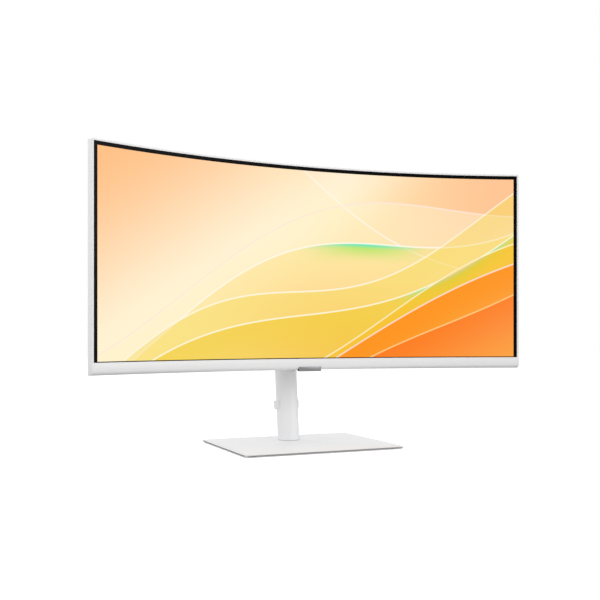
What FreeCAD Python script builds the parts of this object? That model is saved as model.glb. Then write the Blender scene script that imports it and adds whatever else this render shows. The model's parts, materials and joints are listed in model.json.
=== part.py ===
import FreeCAD, Part
import os
import re
import Sketcher

# A wide curved desktop monitor on a height-adjustable column with a flat foot plate.
# +Z is up, -Y is the side the viewer sits on. The origin is the middle of the foot, on the desk.
# The head is drawn upright and half way up its travel, and millimetres are used throughout.
# Every formula below counts y from the swivel axis, and place() adds the axis's own setback.

# Every size that can be set by itself. A cell of the sheet holds each one.
SIZES = {
    # picture and head
    "CurveRadius": 1100.0,      # radius of the front surface of the screen
    "ActiveWidth": 799.8,       # lit area, measured along the curve
    "ActiveHeight": 334.8,
    "BlackBorder": 6.3,         # unlit glass at the top and the sides
    "BottomLine": 1.4,          # unlit glass under the picture
    "ScreenBottom": 162.0,      # lower edge of the picture above the desk
    "ScreenSetback": 97.0,      # from the swivel axis forward to the middle of the screen
    "SwivelSetback": 55.0,      # from the middle of the foot back to the swivel axis
    "RimWidth": 3.6,
    "RimDepth": 11.3,           # how far the rim reaches behind the screen surface
    "RimProud": 0.5,            # how far the rim stands in front of the screen surface
    "RimRound": 0.9,
    "CornerRound": 3.0,
    "ChinHeight": 20.0,
    "ChinDepth": 7.0,
    "ChinProud": 1.2,
    "ChinRound": 6.0,
    "ChinBevel": 1.0,
    "SeatGap": 0.2,             # room round each sheet and board in its seat
    "Over": 1.0,                # how far a cutting shape runs past the face that it cuts
    "Tall": 1000.0,             # a cutting shape taller than everything
    # layers behind the glass
    "CellThick": 1.8,
    "FilmThick": 0.8,
    "GuideThick": 2.5,
    "ReflectorThick": 0.3,
    "ChassisWall": 1.0,
    "LayerGap": 0.1,
    "LedHeight": 3.0,
    "LayerInset": 3.0,
    "LedInset": 10.0,
    # rear cover
    "CoverDepth": 24.0,
    "CoverWall": 2.2,
    "CoverTaper": 50.0,
    "BulgeHeight": 224.0,
    "BulgeInset": 18.0,
    "BulgeRound": 7.0,
    "VentWidth": 3.0,
    "VentCount": 32,
    "VentLength": 16.0,
    "VentShare": 0.7,           # share of the block's width that the slots take
    "VentEdge": 4.0,
    "VentReach": 8.0,
    "BulgeSink": 4.0,           # how far the block starts inside the curved shell at its sides
    "BayMargin": 41.0,          # from the side of the block to the socket bay
    "BayStep": 1.0,
    "BayReach": 10.0,
    "BayClear": 4.5,            # from the mounting plate down to the ceiling of the socket bay
    "SlotInset": 10.0,
    # boards and sockets
    "BoardThick": 1.6,
    "BoardGap": 2.0,
    "BoardClear": 0.6,
    "BoardHeight": 104.0,
    "TrayThick": 1.0,
    "SpacerLength": 5.0,
    "SpacerRadius": 3.0,
    "SpacerInset": 6.0,
    "SpacerRise": 14.0,
    "BoardInset": 33.0,         # from the side of the block to the right edge of the main board
    "PowerInset": 23.0,         # from the side of the block to the left edge of the power board
    "PowerBoardWidth": 92.0,
    "BoardSpace": 18.0,
    "TrayInset": 28.0,
    "TrayRise": 8.0,
    "TimingBoardWidth": 160.0,
    "TimingBoardHeight": 24.0,
    "TimingSetback": 8.0,
    "TimingRise": 31.0,
    "RibbonWidth": 24.0,
    "RibbonThick": 0.4,
    "RibbonPlace": 22.0,
    "RibbonLane": 4.0,
    "RibbonStep": 1.0,
    "SocketWall": 0.8,
    "SocketDepth": 17.0,
    "SocketSink": 0.4,          # how far a socket's mouth sits above the ceiling of the bay
    "InletThick": 19.4,         # the thickest socket, which sets how far the block stands out
    "InletClear": 1.8,
    "InletWidth": 27.0,
    "InletPlace": 114.0,        # from the middle out to the inlet
    "JackBeyond": 53.0,         # from the mounting posts out to the audio jack
    "RowClear": 4.5,            # from the outermost socket to the end of the slot
    "JackSize": 8.0,
    "JackBore": 1.8,
    "JackFloor": 2.0,
    "IoPlateThick": 1.2,
    "IoPlateInset": 7.0,
    # stand bracket and wall-mount holes
    "BracketSize": 84.0,
    "BracketThick": 3.0,
    "ScrewSpacing": 70.0,
    "VesaSpacing": 100.0,
    "VesaHole": 2.0,
    "InsertRadius": 4.0,
    "InsertLength": 8.0,
    "BackPlateThick": 2.0,
    "BackPlateEdge": 0.5,
    "PostOutset": 7.0,          # how far each post stands outside the threaded holes
    "PostRadius": 4.0,
    "ScrewRadius": 2.0,
    "ScrewHeadRadius": 3.8,
    "ScrewHeadHeight": 2.4,
    "ScrewLength": 10.0,
    "DriveRadius": 1.2,
    "DriveDepth": 1.2,
    "HoleGap": 0.2,
    # tilt hinge
    "TubeClear": 4.16,          # from the knuckle back to the lift tube, level with the tilt axis
    "HingeRadius": 13.0,
    "KnuckleRadius": 12.0,
    "KnuckleWidth": 40.0,
    "KnuckleGap": 2.0,
    "ArmHeight": 20.0,
    "ShaftRadius": 5.0,
    "RunGap": 0.05,
    "WasherThick": 2.8,
    "WasherRadius": 11.0,
    "EarWidth": 7.0,
    "HingeCapThick": 2.5,
    "LiftHeadWall": 4.84,
    "LiftHeadRise": 18.5,
    "LiftHeadDrop": 18.5,
    "LiftHeadRound": 9.0,
    # column and lift
    "Lean": 6.2,                # degrees that the column leans back
    "ColumnRadius": 20.7,
    "ColumnWall": 2.0,
    "ColumnSink": 10.0,
    "Travel": 60.0,             # up and down from the middle of the lift
    "TravelSpare": 4.0,
    "LiftWall": 2.0,
    "LiftTopDrop": 2.5,
    "BushWall": 1.7,
    "BushLength": 35.0,
    "BushFlange": 3.0,
    "LowerBushLength": 18.0,
    "GasRadius": 9.0,
    "GasWall": 1.4,
    "GasStart": 44.0,
    "GasFloor": 3.0,
    "GasCap": 6.0,
    "GasSpareLow": 5.0,
    "GasSpareHigh": 6.0,
    "RodRadius": 4.0,
    "PistonLength": 8.0,
    "SeatHeight": 8.0,
    "ClipLow": 63.6,
    "ClipHeight": 16.2,
    "ClipWall": 1.5,
    "ClipMouth": 133.0,         # degrees of the column that the clip leaves open at the front
    "LoopRadius": 14.0,
    "LoopStandoff": 9.8,
    "LoopMouth": 8.0,
    "LevelSize": 200.0,         # a block wider than the column, to trim leaning pieces level
    # foot
    "FootWidth": 301.0,
    "FootDepth": 239.0,
    "FootThick": 3.0,
    "FootCorner": 5.0,
    "FootBevel": 0.6,
    "PadHeight": 2.0,
    "PadRadius": 9.0,
    "PadInset": 20.0,
    "SwivelGap": 0.3,
    "FlangeClear": 1.7,
    "FlangeReach": 7.0,
    "FlangeThick": 3.0,
    "SpigotHeight": 15.7,
    "StudRadius": 4.0,
    "StudHeight": 9.3,
    "HubTop": 24.0,
    "ThrustWasher": 1.5,
    "ThrustInset": 3.0,
    "NutRadius": 7.5,
    "NutHeight": 6.0,
    "ThrustGap": 0.1,
    "FootScrewLength": 5.5,
    "CountersinkRadius": 4.0,
    "CountersinkDepth": 2.0,
    # badge, status window and button
    "BadgeWidth": 44.4,
    "BadgeHeight": 8.4,
    "BadgeThick": 1.2,
    "BadgeSlant": 1.0,
    "BadgeHang": 2.6,
    "WindowWidth": 42.0,
    "WindowPlace": -1.5,
    "WindowRise": 2.5,
    "WindowDepth": 5.0,
    "WindowGap": 0.4,
    "JogPlace": -24.0,
    "JogSetback": 5.2,
    "JogRadius": 4.0,
    "JogHeight": 8.6,
    "JogHang": 2.0,
    "JogHole": 5.8,
    "JogStem": 1.4,
    "StemReach": 4.0,
    "StemGap": 0.3,
    "PressRoom": 0.8,
    "GimbalLift": 2.9,
    "GimbalRadius": 1.0,
    "GimbalSpan": 4.4,
    "SwitchWidth": 12.0,
    "SwitchDepth": 8.0,
    "SwitchHeight": 5.0,
    "SwitchLift": 5.2,
    "KeyBoardInset": 0.5,
    "PodWidth": 28.0,
    "PodHeight": 26.0,
    "PodDepth": 13.0,
}

# Places worked out from those sizes, written as sheet formulas.
CENTRE_Y = "(-ScreenSetback - CurveRadius)"
CELL_LOW = "(ScreenBottom - BottomLine)"
CELL_TOP = "(ScreenBottom + ActiveHeight + BlackBorder)"
HEAD_LOW = "(ScreenBottom - BottomLine - SeatGap - ChinHeight)"
HEAD_TOP = "(ScreenBottom + ActiveHeight + BlackBorder + SeatGap + RimWidth)"
CHIN_TOP = "(ScreenBottom - BottomLine - SeatGap)"
HINGE_Z = "((%s + %s) / 2)" % (HEAD_LOW, HEAD_TOP)
CELL_ARC = "(ActiveWidth + 2 * BlackBorder)"
SEAT_ARC = "(ActiveWidth + 2 * BlackBorder + 2 * SeatGap)"
HEAD_ARC = "(ActiveWidth + 2 * BlackBorder + 2 * SeatGap + 2 * RimWidth)"
RIM_BACK = "(CurveRadius + RimDepth)"
FILM_AT = "(CellThick + LayerGap)"
GUIDE_AT = "(CellThick + FilmThick + 2 * LayerGap)"
REFLECTOR_AT = "(CellThick + FilmThick + GuideThick + 3 * LayerGap)"
CHASSIS_AT = "(CellThick + FilmThick + GuideThick + ReflectorThick + 4 * LayerGap)"
CHASSIS_BACK = "(CurveRadius + %s + ChassisWall)" % CHASSIS_AT
POST_SPACING = "(VesaSpacing + 2 * PostOutset)"
JACK_X = "(%s / 2 + JackBeyond)" % POST_SPACING
ROW_HALF = "(max(InletPlace + InletWidth / 2; %s + JackSize / 2) + RowClear)" % JACK_X
BAY_WIDTH = "(2 * %s + 2 * SlotInset)" % ROW_HALF
BULGE_WIDTH = "(%s + 2 * BayMargin)" % BAY_WIDTH
BULGE_START = "(CoverDepth - BulgeSink - %s ^ 2 / 8 / CurveRadius)" % BULGE_WIDTH
BULGE_DEPTH = "(CoverDepth + BayStep + BoardGap + BoardThick + InletThick + InletClear + CoverWall)"
BACK_Y = "(%s - ScreenSetback)" % BULGE_DEPTH
INNER_BACK_Y = "(%s - CoverWall)" % BACK_Y
BACK_PLATE_Y = "(%s - BackPlateThick)" % INNER_BACK_Y
BACK_PLATE = "(%s + 2 * PostRadius + 2 * BackPlateEdge)" % POST_SPACING
BAY_DROP = "(%s / 2 + BayClear)" % BACK_PLATE
BAY_TOP = "(%s - %s)" % (HINGE_Z, BAY_DROP)
BAY_FRONT_Y = "(CoverDepth + BayStep - ScreenSetback)"
BOARD_LOW = "(%s + CoverWall + IoPlateThick + BoardClear)" % BAY_TOP
BOARD_Y = "(%s + BoardGap)" % BAY_FRONT_Y
BOARD_BACK_Y = "(%s + BoardThick)" % BOARD_Y
TRAY_Y = "(%s - SpacerLength - TrayThick)" % BOARD_Y
SLOT_Y = "(%s - SeatGap)" % BOARD_BACK_Y
SLOT_DEPTH = "(%s - %s - SeatGap)" % (INNER_BACK_Y, SLOT_Y)
PART_ROOM = "(%s - %s)" % (BACK_PLATE_Y, BOARD_BACK_Y)
POWER_LEFT = "(PowerInset - %s / 2)" % BULGE_WIDTH
MAIN_LEFT = "(%s + PowerBoardWidth + BoardSpace)" % POWER_LEFT
MAIN_WIDTH = "(%s / 2 - BoardInset - %s)" % (BULGE_WIDTH, MAIN_LEFT)
BORE_RADIUS = "(ColumnRadius - ColumnWall)"
LIFT_RADIUS = "(%s - BushWall)" % BORE_RADIUS
LIFT_END = "(%s / cos(Lean) - LiftTopDrop)" % HINGE_Z
LIFT_START = "(GasStart + GasFloor + Travel + GasSpareLow)"
GAS_END = "(%s + PistonLength + Travel + GasCap + GasSpareHigh)" % LIFT_START
COLUMN_LENGTH = "((%s - LiftHeadDrop) / cos(Lean) - BushFlange - Travel - TravelSpare)" % HINGE_Z
AXIS_AT_HINGE = "(%s * tan(Lean))" % HINGE_Z
HINGE_SETBACK = "(%s - %s - KnuckleRadius - TubeClear)" % (AXIS_AT_HINGE, LIFT_RADIUS)
LIFT_HEAD_BACK = "(%s + %s + LiftHeadWall)" % (AXIS_AT_HINGE, LIFT_RADIUS)
LOOP_OFFSET = "(ColumnRadius + LoopStandoff)"
FLANGE_RADIUS = "(%s - FlangeClear)" % BORE_RADIUS
SPIGOT_RADIUS = "(%s - FlangeReach)" % FLANGE_RADIUS
FOOT_SCREW_CIRCLE = "(%s - FlangeReach / 2)" % FLANGE_RADIUS
FOOT_TOP = "(PadHeight + FootThick)"
EAR_INNER = "(KnuckleWidth / 2 + WasherThick + 2 * ThrustGap)"
EAR_OUTER = "(KnuckleWidth / 2 + WasherThick + 2 * ThrustGap + EarWidth)"
HUB_LOW = "(%s + FlangeThick + SwivelGap)" % FOOT_TOP
JOG_Y = "(RimDepth + JogSetback - ScreenSetback)"
JOG_LOW = "(%s - JogHang)" % HEAD_LOW
JOG_TOP = "(%s + JogHeight)" % JOG_LOW
GIMBAL_Z = "(%s + GimbalLift + GimbalRadius)" % JOG_TOP
CHIN_FRONT_Y = "(-ScreenSetback - ChinProud)"
BADGE_Y = "(%s - BadgeWidth * BadgeWidth / 8 / (CurveRadius - ChinProud))" % CHIN_FRONT_Y

doc = FreeCAD.newDocument("Monitor")
parts = []


def make_sheet():
    """Fill the sheet with the driving sizes, one plain number and alias per row."""
    sheet = doc.addObject("Spreadsheet::Sheet", "Sizes")
    for row, (name, number) in enumerate(SIZES.items(), start=1):
        sheet.set("A%d" % row, name)
        sheet.set("B%d" % row, str(number))
        sheet.setAlias("B%d" % row, name)
    doc.recompute()
    return sheet


def sized(formula):
    """Turn a formula in plain size names into one that reads the sheet."""
    return re.sub(r"\b([A-Z]\w+)", r"Sizes.\1", str(formula))


def bind(thing, **formulas):
    """Bind each named property of a feature to its formula."""
    for name, formula in formulas.items():
        thing.setExpression(name, sized(formula))
    return thing


def place(thing, x=0, y=0, z=0, turn=None):
    """Place a feature by three formulas, turned about the axis and angle given in turn."""
    spin = "rotation(vector(0; 0; 1); 0)"
    if turn:
        spin = "rotation(vector(%d; %d; %d); %s)" % (turn[0] + (turn[1],))
    formula = "placement(vector(%s; SwivelSetback + (%s); %s); %s)" % (x, y, z, spin)
    thing.setExpression("Placement", sized(formula))
    return thing


def lean_place(thing, x=0, y=0, along=0):
    """Place a feature in the frame of the leaning column: across, behind and along its axis."""
    back = "(%s) * cos(Lean) + (%s) * sin(Lean)" % (y, along)
    up = "(%s) * cos(Lean) - (%s) * sin(Lean)" % (along, y)
    return place(thing, x, back, up, turn=((1, 0, 0), "-Lean"))


def box(name, width, depth, height):
    """A box whose corner is at its own origin."""
    return bind(doc.addObject("Part::Box", name), Length=width, Width=depth, Height=height)


def centred_box(name, width, depth, height, x=0, y=0, z=0):
    """A box centred across x, with its front at y and its floor at z."""
    return place(box(name, width, depth, height), "(%s) - (%s) / 2" % (x, width), y, z)


def rod(name, radius, height):
    """A cylinder standing on its own origin."""
    return bind(doc.addObject("Part::Cylinder", name), Radius=radius, Height=height)


def upright(name, radius, height, x=0, y=0, z=0):
    """A cylinder with a vertical axis."""
    return place(rod(name, radius, height), x, y, z)


def leaning(name, radius, start, length, x=0, y=0):
    """A cylinder along the column, from start upwards."""
    return lean_place(rod(name, radius, length), x, y, start)


def crosswise(name, radius, length, x=0, y=0, z=0):
    """A cylinder with its axis along +X from x."""
    return place(rod(name, radius, length), x, y, z, turn=((0, 1, 0), "90"))


def backward(name, radius, length, x=0, y=0, z=0):
    """A cylinder with its axis along +Y from y."""
    return place(rod(name, radius, length), x, y, z, turn=((1, 0, 0), "-90"))


def cut(name, base, *tools):
    """Take the tools away from a base."""
    tool = tools[0] if len(tools) == 1 else fuse(name + "Tools", *tools)
    thing = doc.addObject("Part::Cut", name)
    thing.Base = base
    thing.Tool = tool
    return thing


def fuse(name, *shapes):
    """Join overlapping shapes into one."""
    thing = doc.addObject("Part::MultiFuse", name)
    thing.Shapes = list(shapes)
    thing.Refine = True
    return thing


def common(name, first, second):
    """Keep what two shapes share."""
    thing = doc.addObject("Part::MultiCommon", name)
    thing.Shapes = [first, second]
    return thing


def group(name, shapes):
    """Hold separate like pieces in one sub-part."""
    thing = doc.addObject("Part::Compound", name)
    thing.Links = list(shapes)
    return thing


def keep(label, thing):
    """Register a finished sub-part under the name of its file."""
    thing.Label = label
    parts.append(thing)
    return thing


def sketch_on(body, role, name, outlines, offset=None):
    """Draw closed outlines of straight lines, every corner held by two formulas."""
    sketch = body.newObject("Sketcher::SketchObject", name)
    plane = [item for item in body.Origin.OriginFeatures if item.Role == role][0]
    sketch.AttachmentSupport = [(plane, "")]
    sketch.MapMode = "FlatFace"
    if offset:
        sketch.setExpression("AttachmentOffset.Base.z", sized(offset))
    for corners in outlines:
        draw_outline(sketch, corners)
    return sketch


def draw_outline(sketch, corners):
    """Add one closed outline: lines from corner to corner, then their places."""
    count = len(corners)
    first = sketch.GeometryCount
    start = [FreeCAD.Vector(100, 0, 0)]
    for step in range(1, count + 1):
        turn = FreeCAD.Rotation(FreeCAD.Vector(0, 0, 1), 360.0 * step / count)
        start.append(turn.multVec(start[0]))
    for step in range(count):
        sketch.addGeometry(Part.LineSegment(start[step], start[step + 1]))
    for step in range(count):
        following = first + (step + 1) % count
        sketch.addConstraint(Sketcher.Constraint("Coincident", first + step, 2, following, 1))
    for step, (across, up) in enumerate(corners):
        for kind, formula in (("DistanceX", across), ("DistanceY", up)):
            index = sketch.addConstraint(Sketcher.Constraint(kind, first + step, 1, 1.0))
            sketch.setExpression("Constraints[%d]" % index, sized(formula))


def rectangle(left, low, right, high):
    """The four corners of a rectangle."""
    return [(left, low), (right, low), (right, high), (left, high)]


def arc_angle(arc):
    """The angle in degrees that an arc of the screen surface spans."""
    return "(%s) / CurveRadius * 180 / pi" % arc


def new_body(name):
    """A body whose origin is on the axis that the screen is curved about."""
    body = doc.addObject("PartDesign::Body", name)
    return place(body, 0, CENTRE_Y, 0)


def revolve(body, kind, name, outlines, arc):
    """Sweep outlines of radius and height about the curve's axis, equally to both sides."""
    sketch = sketch_on(body, "YZ_Plane", name + "Profile", outlines)
    feature = body.newObject("PartDesign::" + kind, name)
    feature.Profile = sketch
    feature.ReferenceAxis = (sketch, ["V_Axis"])
    feature.Midplane = True
    feature.setExpression("Angle", sized(arc_angle(arc)))
    return feature


def curved(name, outline, arc):
    """A body swept from one outline."""
    body = new_body(name)
    revolve(body, "Revolution", name + "Sweep", [outline], arc)
    return body


def curved_sheet(label, start, thickness, low, high, arc):
    """A curved sheet that starts at a depth behind the screen surface."""
    near = "CurveRadius + %s" % start
    far = "CurveRadius + %s + %s" % (start, thickness)
    return keep(label, curved(label, rectangle(near, low, far, high), arc))


def polar_points(radius, angle, side):
    """A plan point at a radius and an angle from straight back, on one side."""
    return ("%d * (%s) * sin(%s)" % (side, radius, angle), "(%s) * cos(%s)" % (radius, angle))


def edges_where(shape, test):
    """Names of the edges of a shape that pass a test."""
    return ["Edge%d" % number for number, edge in enumerate(shape.Edges, start=1) if test(edge)]


def round_edges(body, name, radius, test, kind="Fillet"):
    """Round or bevel the edges of a body's tip that pass a test."""
    doc.recompute()
    base = body.Tip
    feature = body.newObject("PartDesign::" + kind, name)
    feature.Base = (base, edges_where(base.Shape, test))
    feature.setExpression("Radius" if kind == "Fillet" else "Size", sized(radius))
    doc.recompute()
    return feature


def edge_points(edge):
    """Points spread along an edge."""
    return [edge.valueAt(edge.FirstParameter + (edge.LastParameter - edge.FirstParameter) * part)
            for part in (0.0, 0.5, 1.0)]


def lies_at(edge, radius, height):
    """True for an edge at one radius from the curve's axis and one height."""
    near = all(abs((point.x ** 2 + point.y ** 2) ** 0.5 - radius) < 0.01 for point in edge_points(edge))
    return near and all(abs(point.z - height) < 0.01 for point in edge_points(edge))


def is_end_edge(edge, half_angle, height):
    """True for a straight edge that runs front to back at an end, at one height."""
    ends = edge_points(edge)
    level = all(abs(point.z - height) < 0.01 for point in ends)
    outer = all(abs(abs(point.x) - (point.x ** 2 + point.y ** 2) ** 0.5 * half_angle) < 0.01
                for point in ends)
    return level and outer


def named(*names):
    """Numbers of named sizes."""
    return [SIZES[name] for name in names]


def head_numbers():
    """The head's lower edge, upper edge and the sine of half its angle, as numbers."""
    active, border, seat, rim, radius = named(
        "ActiveWidth", "BlackBorder", "SeatGap", "RimWidth", "CurveRadius")
    bottom, line, chin, height = named("ScreenBottom", "BottomLine", "ChinHeight", "ActiveHeight")
    low = bottom - line - seat - chin
    top = bottom + height + border + seat + rim
    half = (active / 2 + border + seat + rim) / radius * FreeCAD.Units.Quantity("1 rad").Value
    direction = FreeCAD.Rotation(FreeCAD.Vector(0, 0, 1), half).multVec(FreeCAD.Vector(0, 1, 0))
    return low, top, abs(direction.x)


def build_screen_layers():
    """The glass cell and the sheets that light it."""
    curved_sheet("lcd_panel", "0", "CellThick", CELL_LOW, CELL_TOP, CELL_ARC)
    inner = "(%s - 2 * LayerInset)" % CELL_ARC
    low = "(ScreenBottom + LedHeight + 2 * LayerGap)"
    high = "(%s - LayerInset)" % CELL_TOP
    curved_sheet("diffuser_sheets", FILM_AT, "FilmThick", low, high, inner)
    curved_sheet("light_guide", GUIDE_AT, "GuideThick", low, high, inner)
    curved_sheet("reflector_sheet", REFLECTOR_AT, "ReflectorThick", low, high, inner)
    led_low = "(ScreenBottom + LayerGap)"
    led_high = "(ScreenBottom + LayerGap + LedHeight)"
    curved_sheet("led_bar", GUIDE_AT, "GuideThick", led_low, led_high, "(ActiveWidth - 2 * LedInset)")


def build_chassis():
    """The metal pan behind the layers, with a lip along its top and its foot."""
    back = CHASSIS_BACK
    face = "CurveRadius + %s" % CHASSIS_AT
    lip = "CurveRadius + %s" % FILM_AT
    low = "ScreenBottom - ChassisWall"
    high = "%s - ChassisWall" % CELL_TOP
    outline = [(lip, low), (back, low), (back, high), (lip, high), (lip, high + " - ChassisWall"),
               (face, high + " - ChassisWall"), (face, low + " + ChassisWall"),
               (lip, low + " + ChassisWall")]
    keep("panel_chassis", curved("panel_chassis", outline, CELL_ARC))


def build_frame():
    """The rim round the screen, open where the glass shows and behind the chin."""
    low, top, sine = head_numbers()
    front = SIZES["CurveRadius"] - SIZES["RimProud"]
    body = curved("middle_frame", rectangle("CurveRadius - RimProud", HEAD_LOW, RIM_BACK, HEAD_TOP),
                  HEAD_ARC)
    window = rectangle("CurveRadius - RimProud - Over", HEAD_LOW + " + RimWidth",
                       RIM_BACK + " + Over", HEAD_TOP + " - RimWidth")
    revolve(body, "Groove", "FrameWindow", [window], SEAT_ARC)
    shelf = rectangle("CurveRadius - RimProud - Over", HEAD_LOW + " - Over",
                      "CurveRadius + ChinDepth", CHIN_TOP)
    revolve(body, "Groove", "ChinShelf", [shelf], HEAD_ARC + " + 2 * Over")
    round_edges(body, "FrameCorners", "CornerRound",
                lambda edge: is_end_edge(edge, sine, low) or is_end_edge(edge, sine, top))
    round_edges(body, "FrameEdge", "RimRound", lambda edge: lies_at(edge, front, top))
    keep("middle_frame", body)


def build_chin():
    """The strip under the picture, rounded off underneath."""
    low, top, sine = head_numbers()
    front = SIZES["CurveRadius"] - SIZES["ChinProud"]
    chin_top = low + SIZES["ChinHeight"]
    outline = rectangle("CurveRadius - ChinProud", HEAD_LOW, "CurveRadius + ChinDepth", CHIN_TOP)
    body = curved("chin_bezel", outline, HEAD_ARC)
    round_edges(body, "ChinCorners", "CornerRound", lambda edge: is_end_edge(edge, sine, low))
    round_edges(body, "ChinFoot", "ChinRound", lambda edge: lies_at(edge, front, low))
    round_edges(body, "ChinTop", "ChinBevel", lambda edge: lies_at(edge, front, chin_top), "Chamfer")
    return keep("chin_bezel", body)


def tapered_back(name, inset):
    """The curved, tapered slab of the rear cover, or of the space in it."""
    near = RIM_BACK
    far = "(CurveRadius + CoverDepth - %s)" % inset
    low = "%s + %s" % (HEAD_LOW, inset)
    high = "%s - %s" % (HEAD_TOP, inset)
    outline = [(near, low), (far, low + " + CoverTaper"), (far, high + " - CoverTaper"), (near, high)]
    body = curved(name, outline, "%s - 2 * %s" % (HEAD_ARC, inset))
    edge = arc_angle("(%s - 2 * %s) / 2" % (HEAD_ARC, inset))
    inner = arc_angle("(%s - 2 * %s) / 2 - CoverTaper" % (HEAD_ARC, inset))
    beyond = far + " + CoverDepth"
    past_edge = edge + " + Over"
    wedges = []
    for side in (-1, 1):
        wedges.append([
            polar_points(near, edge, side),
            polar_points(far, inner, side),
            polar_points(beyond, inner, side),
            polar_points(beyond, past_edge, side),
            polar_points(near, past_edge, side)])
    sketch = sketch_on(body, "XY_Plane", name + "Ends", wedges)
    pocket = body.newObject("PartDesign::Pocket", name + "Taper")
    pocket.Profile = sketch
    pocket.Type = "ThroughAll"
    pocket.Midplane = True
    return body


def frustum(name, inset):
    """The block that stands out of the middle of the back, or the space in it."""
    wedge = doc.addObject("Part::Wedge", name)
    half = "(%s / 2 - %s)" % (BULGE_WIDTH, inset)
    tall = "(BulgeHeight / 2 - %s)" % inset
    bind(wedge, Xmin="-" + half, Xmax=half, Zmin="-" + tall, Zmax=tall,
         Ymin="0", Ymax="%s - %s - %s" % (BULGE_DEPTH, BULGE_START, inset),
         X2min="BulgeInset - " + half, X2max=half + " - BulgeInset",
         Z2min="BulgeInset - " + tall, Z2max=tall + " - BulgeInset")
    return place(wedge, 0, BULGE_START + " - ScreenSetback", HINGE_Z)


def rounded_frustum():
    """The block with its back edges rounded."""
    block = frustum("Bulge", "0")
    doc.recompute()
    back = block.Shape.BoundBox.YMax
    rounded = doc.addObject("Part::Fillet", "BulgeRounded")
    rounded.Base = block
    chosen = []
    for number, edge in enumerate(block.Shape.Edges, start=1):
        if max(vertex.Point.y for vertex in edge.Vertexes) > back - 0.01:
            chosen.append((number, SIZES["BulgeRound"], SIZES["BulgeRound"]))
    rounded.Edges = chosen
    return rounded


def bay_box(name, grow):
    """The socket bay under the block, or that bay with its walls."""
    wide = "%s + 2 * %s" % (BAY_WIDTH, grow)
    floor = "%s - BulgeHeight / 2 - BayReach" % HINGE_Z
    tall = "BulgeHeight / 2 + BayReach - %s + %s" % (BAY_DROP, grow)
    return centred_box(name, wide, BULGE_DEPTH, tall, 0, "%s - %s" % (BAY_FRONT_Y, grow), floor)


def pod(name, inset):
    """The small housing of the button under the back, or the space in it."""
    return centred_box(name, "PodWidth - 2 * %s" % inset, "PodDepth - %s" % inset,
                       "PodHeight - 2 * %s" % inset, "JogPlace", "RimDepth - ScreenSetback",
                       "%s + %s" % (HEAD_LOW, inset))


def corners(spacing):
    """The four corners of a square about the tilt axis, as pairs of formulas."""
    return [("%d * %s / 2" % (side, spacing), "%s + %d * %s / 2" % (HINGE_Z, level, spacing))
            for side in (-1, 1) for level in (-1, 1)]


def rods_at(name, radius, length, spacing, y):
    """Four rods front to back, one at each corner of a square."""
    return [backward("%s%d" % (name, number), radius, length, x, y, z)
            for number, (x, z) in enumerate(corners(spacing), start=1)]


def vents():
    """The row of slots through the top of the block."""
    count = SIZES["VentCount"]
    pitch = "VentShare * %s / VentCount" % BULGE_WIDTH
    tall = "BulgeInset + VentReach + 2 * Over"
    behind = "%s - BulgeRound - VentLength - VentEdge" % BACK_Y
    low = "%s + BulgeHeight / 2 - BulgeInset - VentReach" % HINGE_Z
    slots = []
    for number in range(count):
        across = "%s * %s" % (pitch, number - (count - 1) / 2)
        slots.append(centred_box("Vent%d" % number, "VentWidth", "VentLength", tall, across, behind,
                                 low))
    return slots


def build_rear_cover():
    """The moulded back: a curved shell, the block on it, the socket bay and the button's housing."""
    outside = fuse("CoverOutside", tapered_back("CoverSlab", "0"), rounded_frustum(), pod("Pod", "0"))
    outside = cut("CoverOutsideCut", outside, bay_box("Bay", "0"))
    wall = "CoverWall"
    inside = fuse("CoverInside", tapered_back("CoverHollow", wall), frustum("BulgeHollow", wall),
                  pod("PodHollow", wall))
    inside = cut("CoverInsideCut", inside, bay_box("BayWalls", wall))
    shell = cut("CoverShell", outside, inside)
    through = wall + " + 2 * Over"
    front = upright("CoverFront", RIM_BACK, "Tall", 0, CENTRE_Y, "0")
    slot = centred_box("SocketSlot", BAY_WIDTH + " - 2 * SlotInset", SLOT_DEPTH, through, 0, SLOT_Y,
                       BAY_TOP + " - Over")
    eye = upright("ButtonHole", "JogHole", through, "JogPlace", JOG_Y, HEAD_LOW + " - Over")
    holes = rods_at("InsertSeat", "InsertRadius + RunGap", through, "VesaSpacing",
                    INNER_BACK_Y + " - Over")
    holes += vents()
    holes += rods_at("CoverScrewHole", "ScrewRadius + HoleGap", through, "ScrewSpacing",
                     INNER_BACK_Y + " - Over")
    keep("rear_cover", cut("RearCover", shell, front, slot, eye, *holes))


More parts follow.
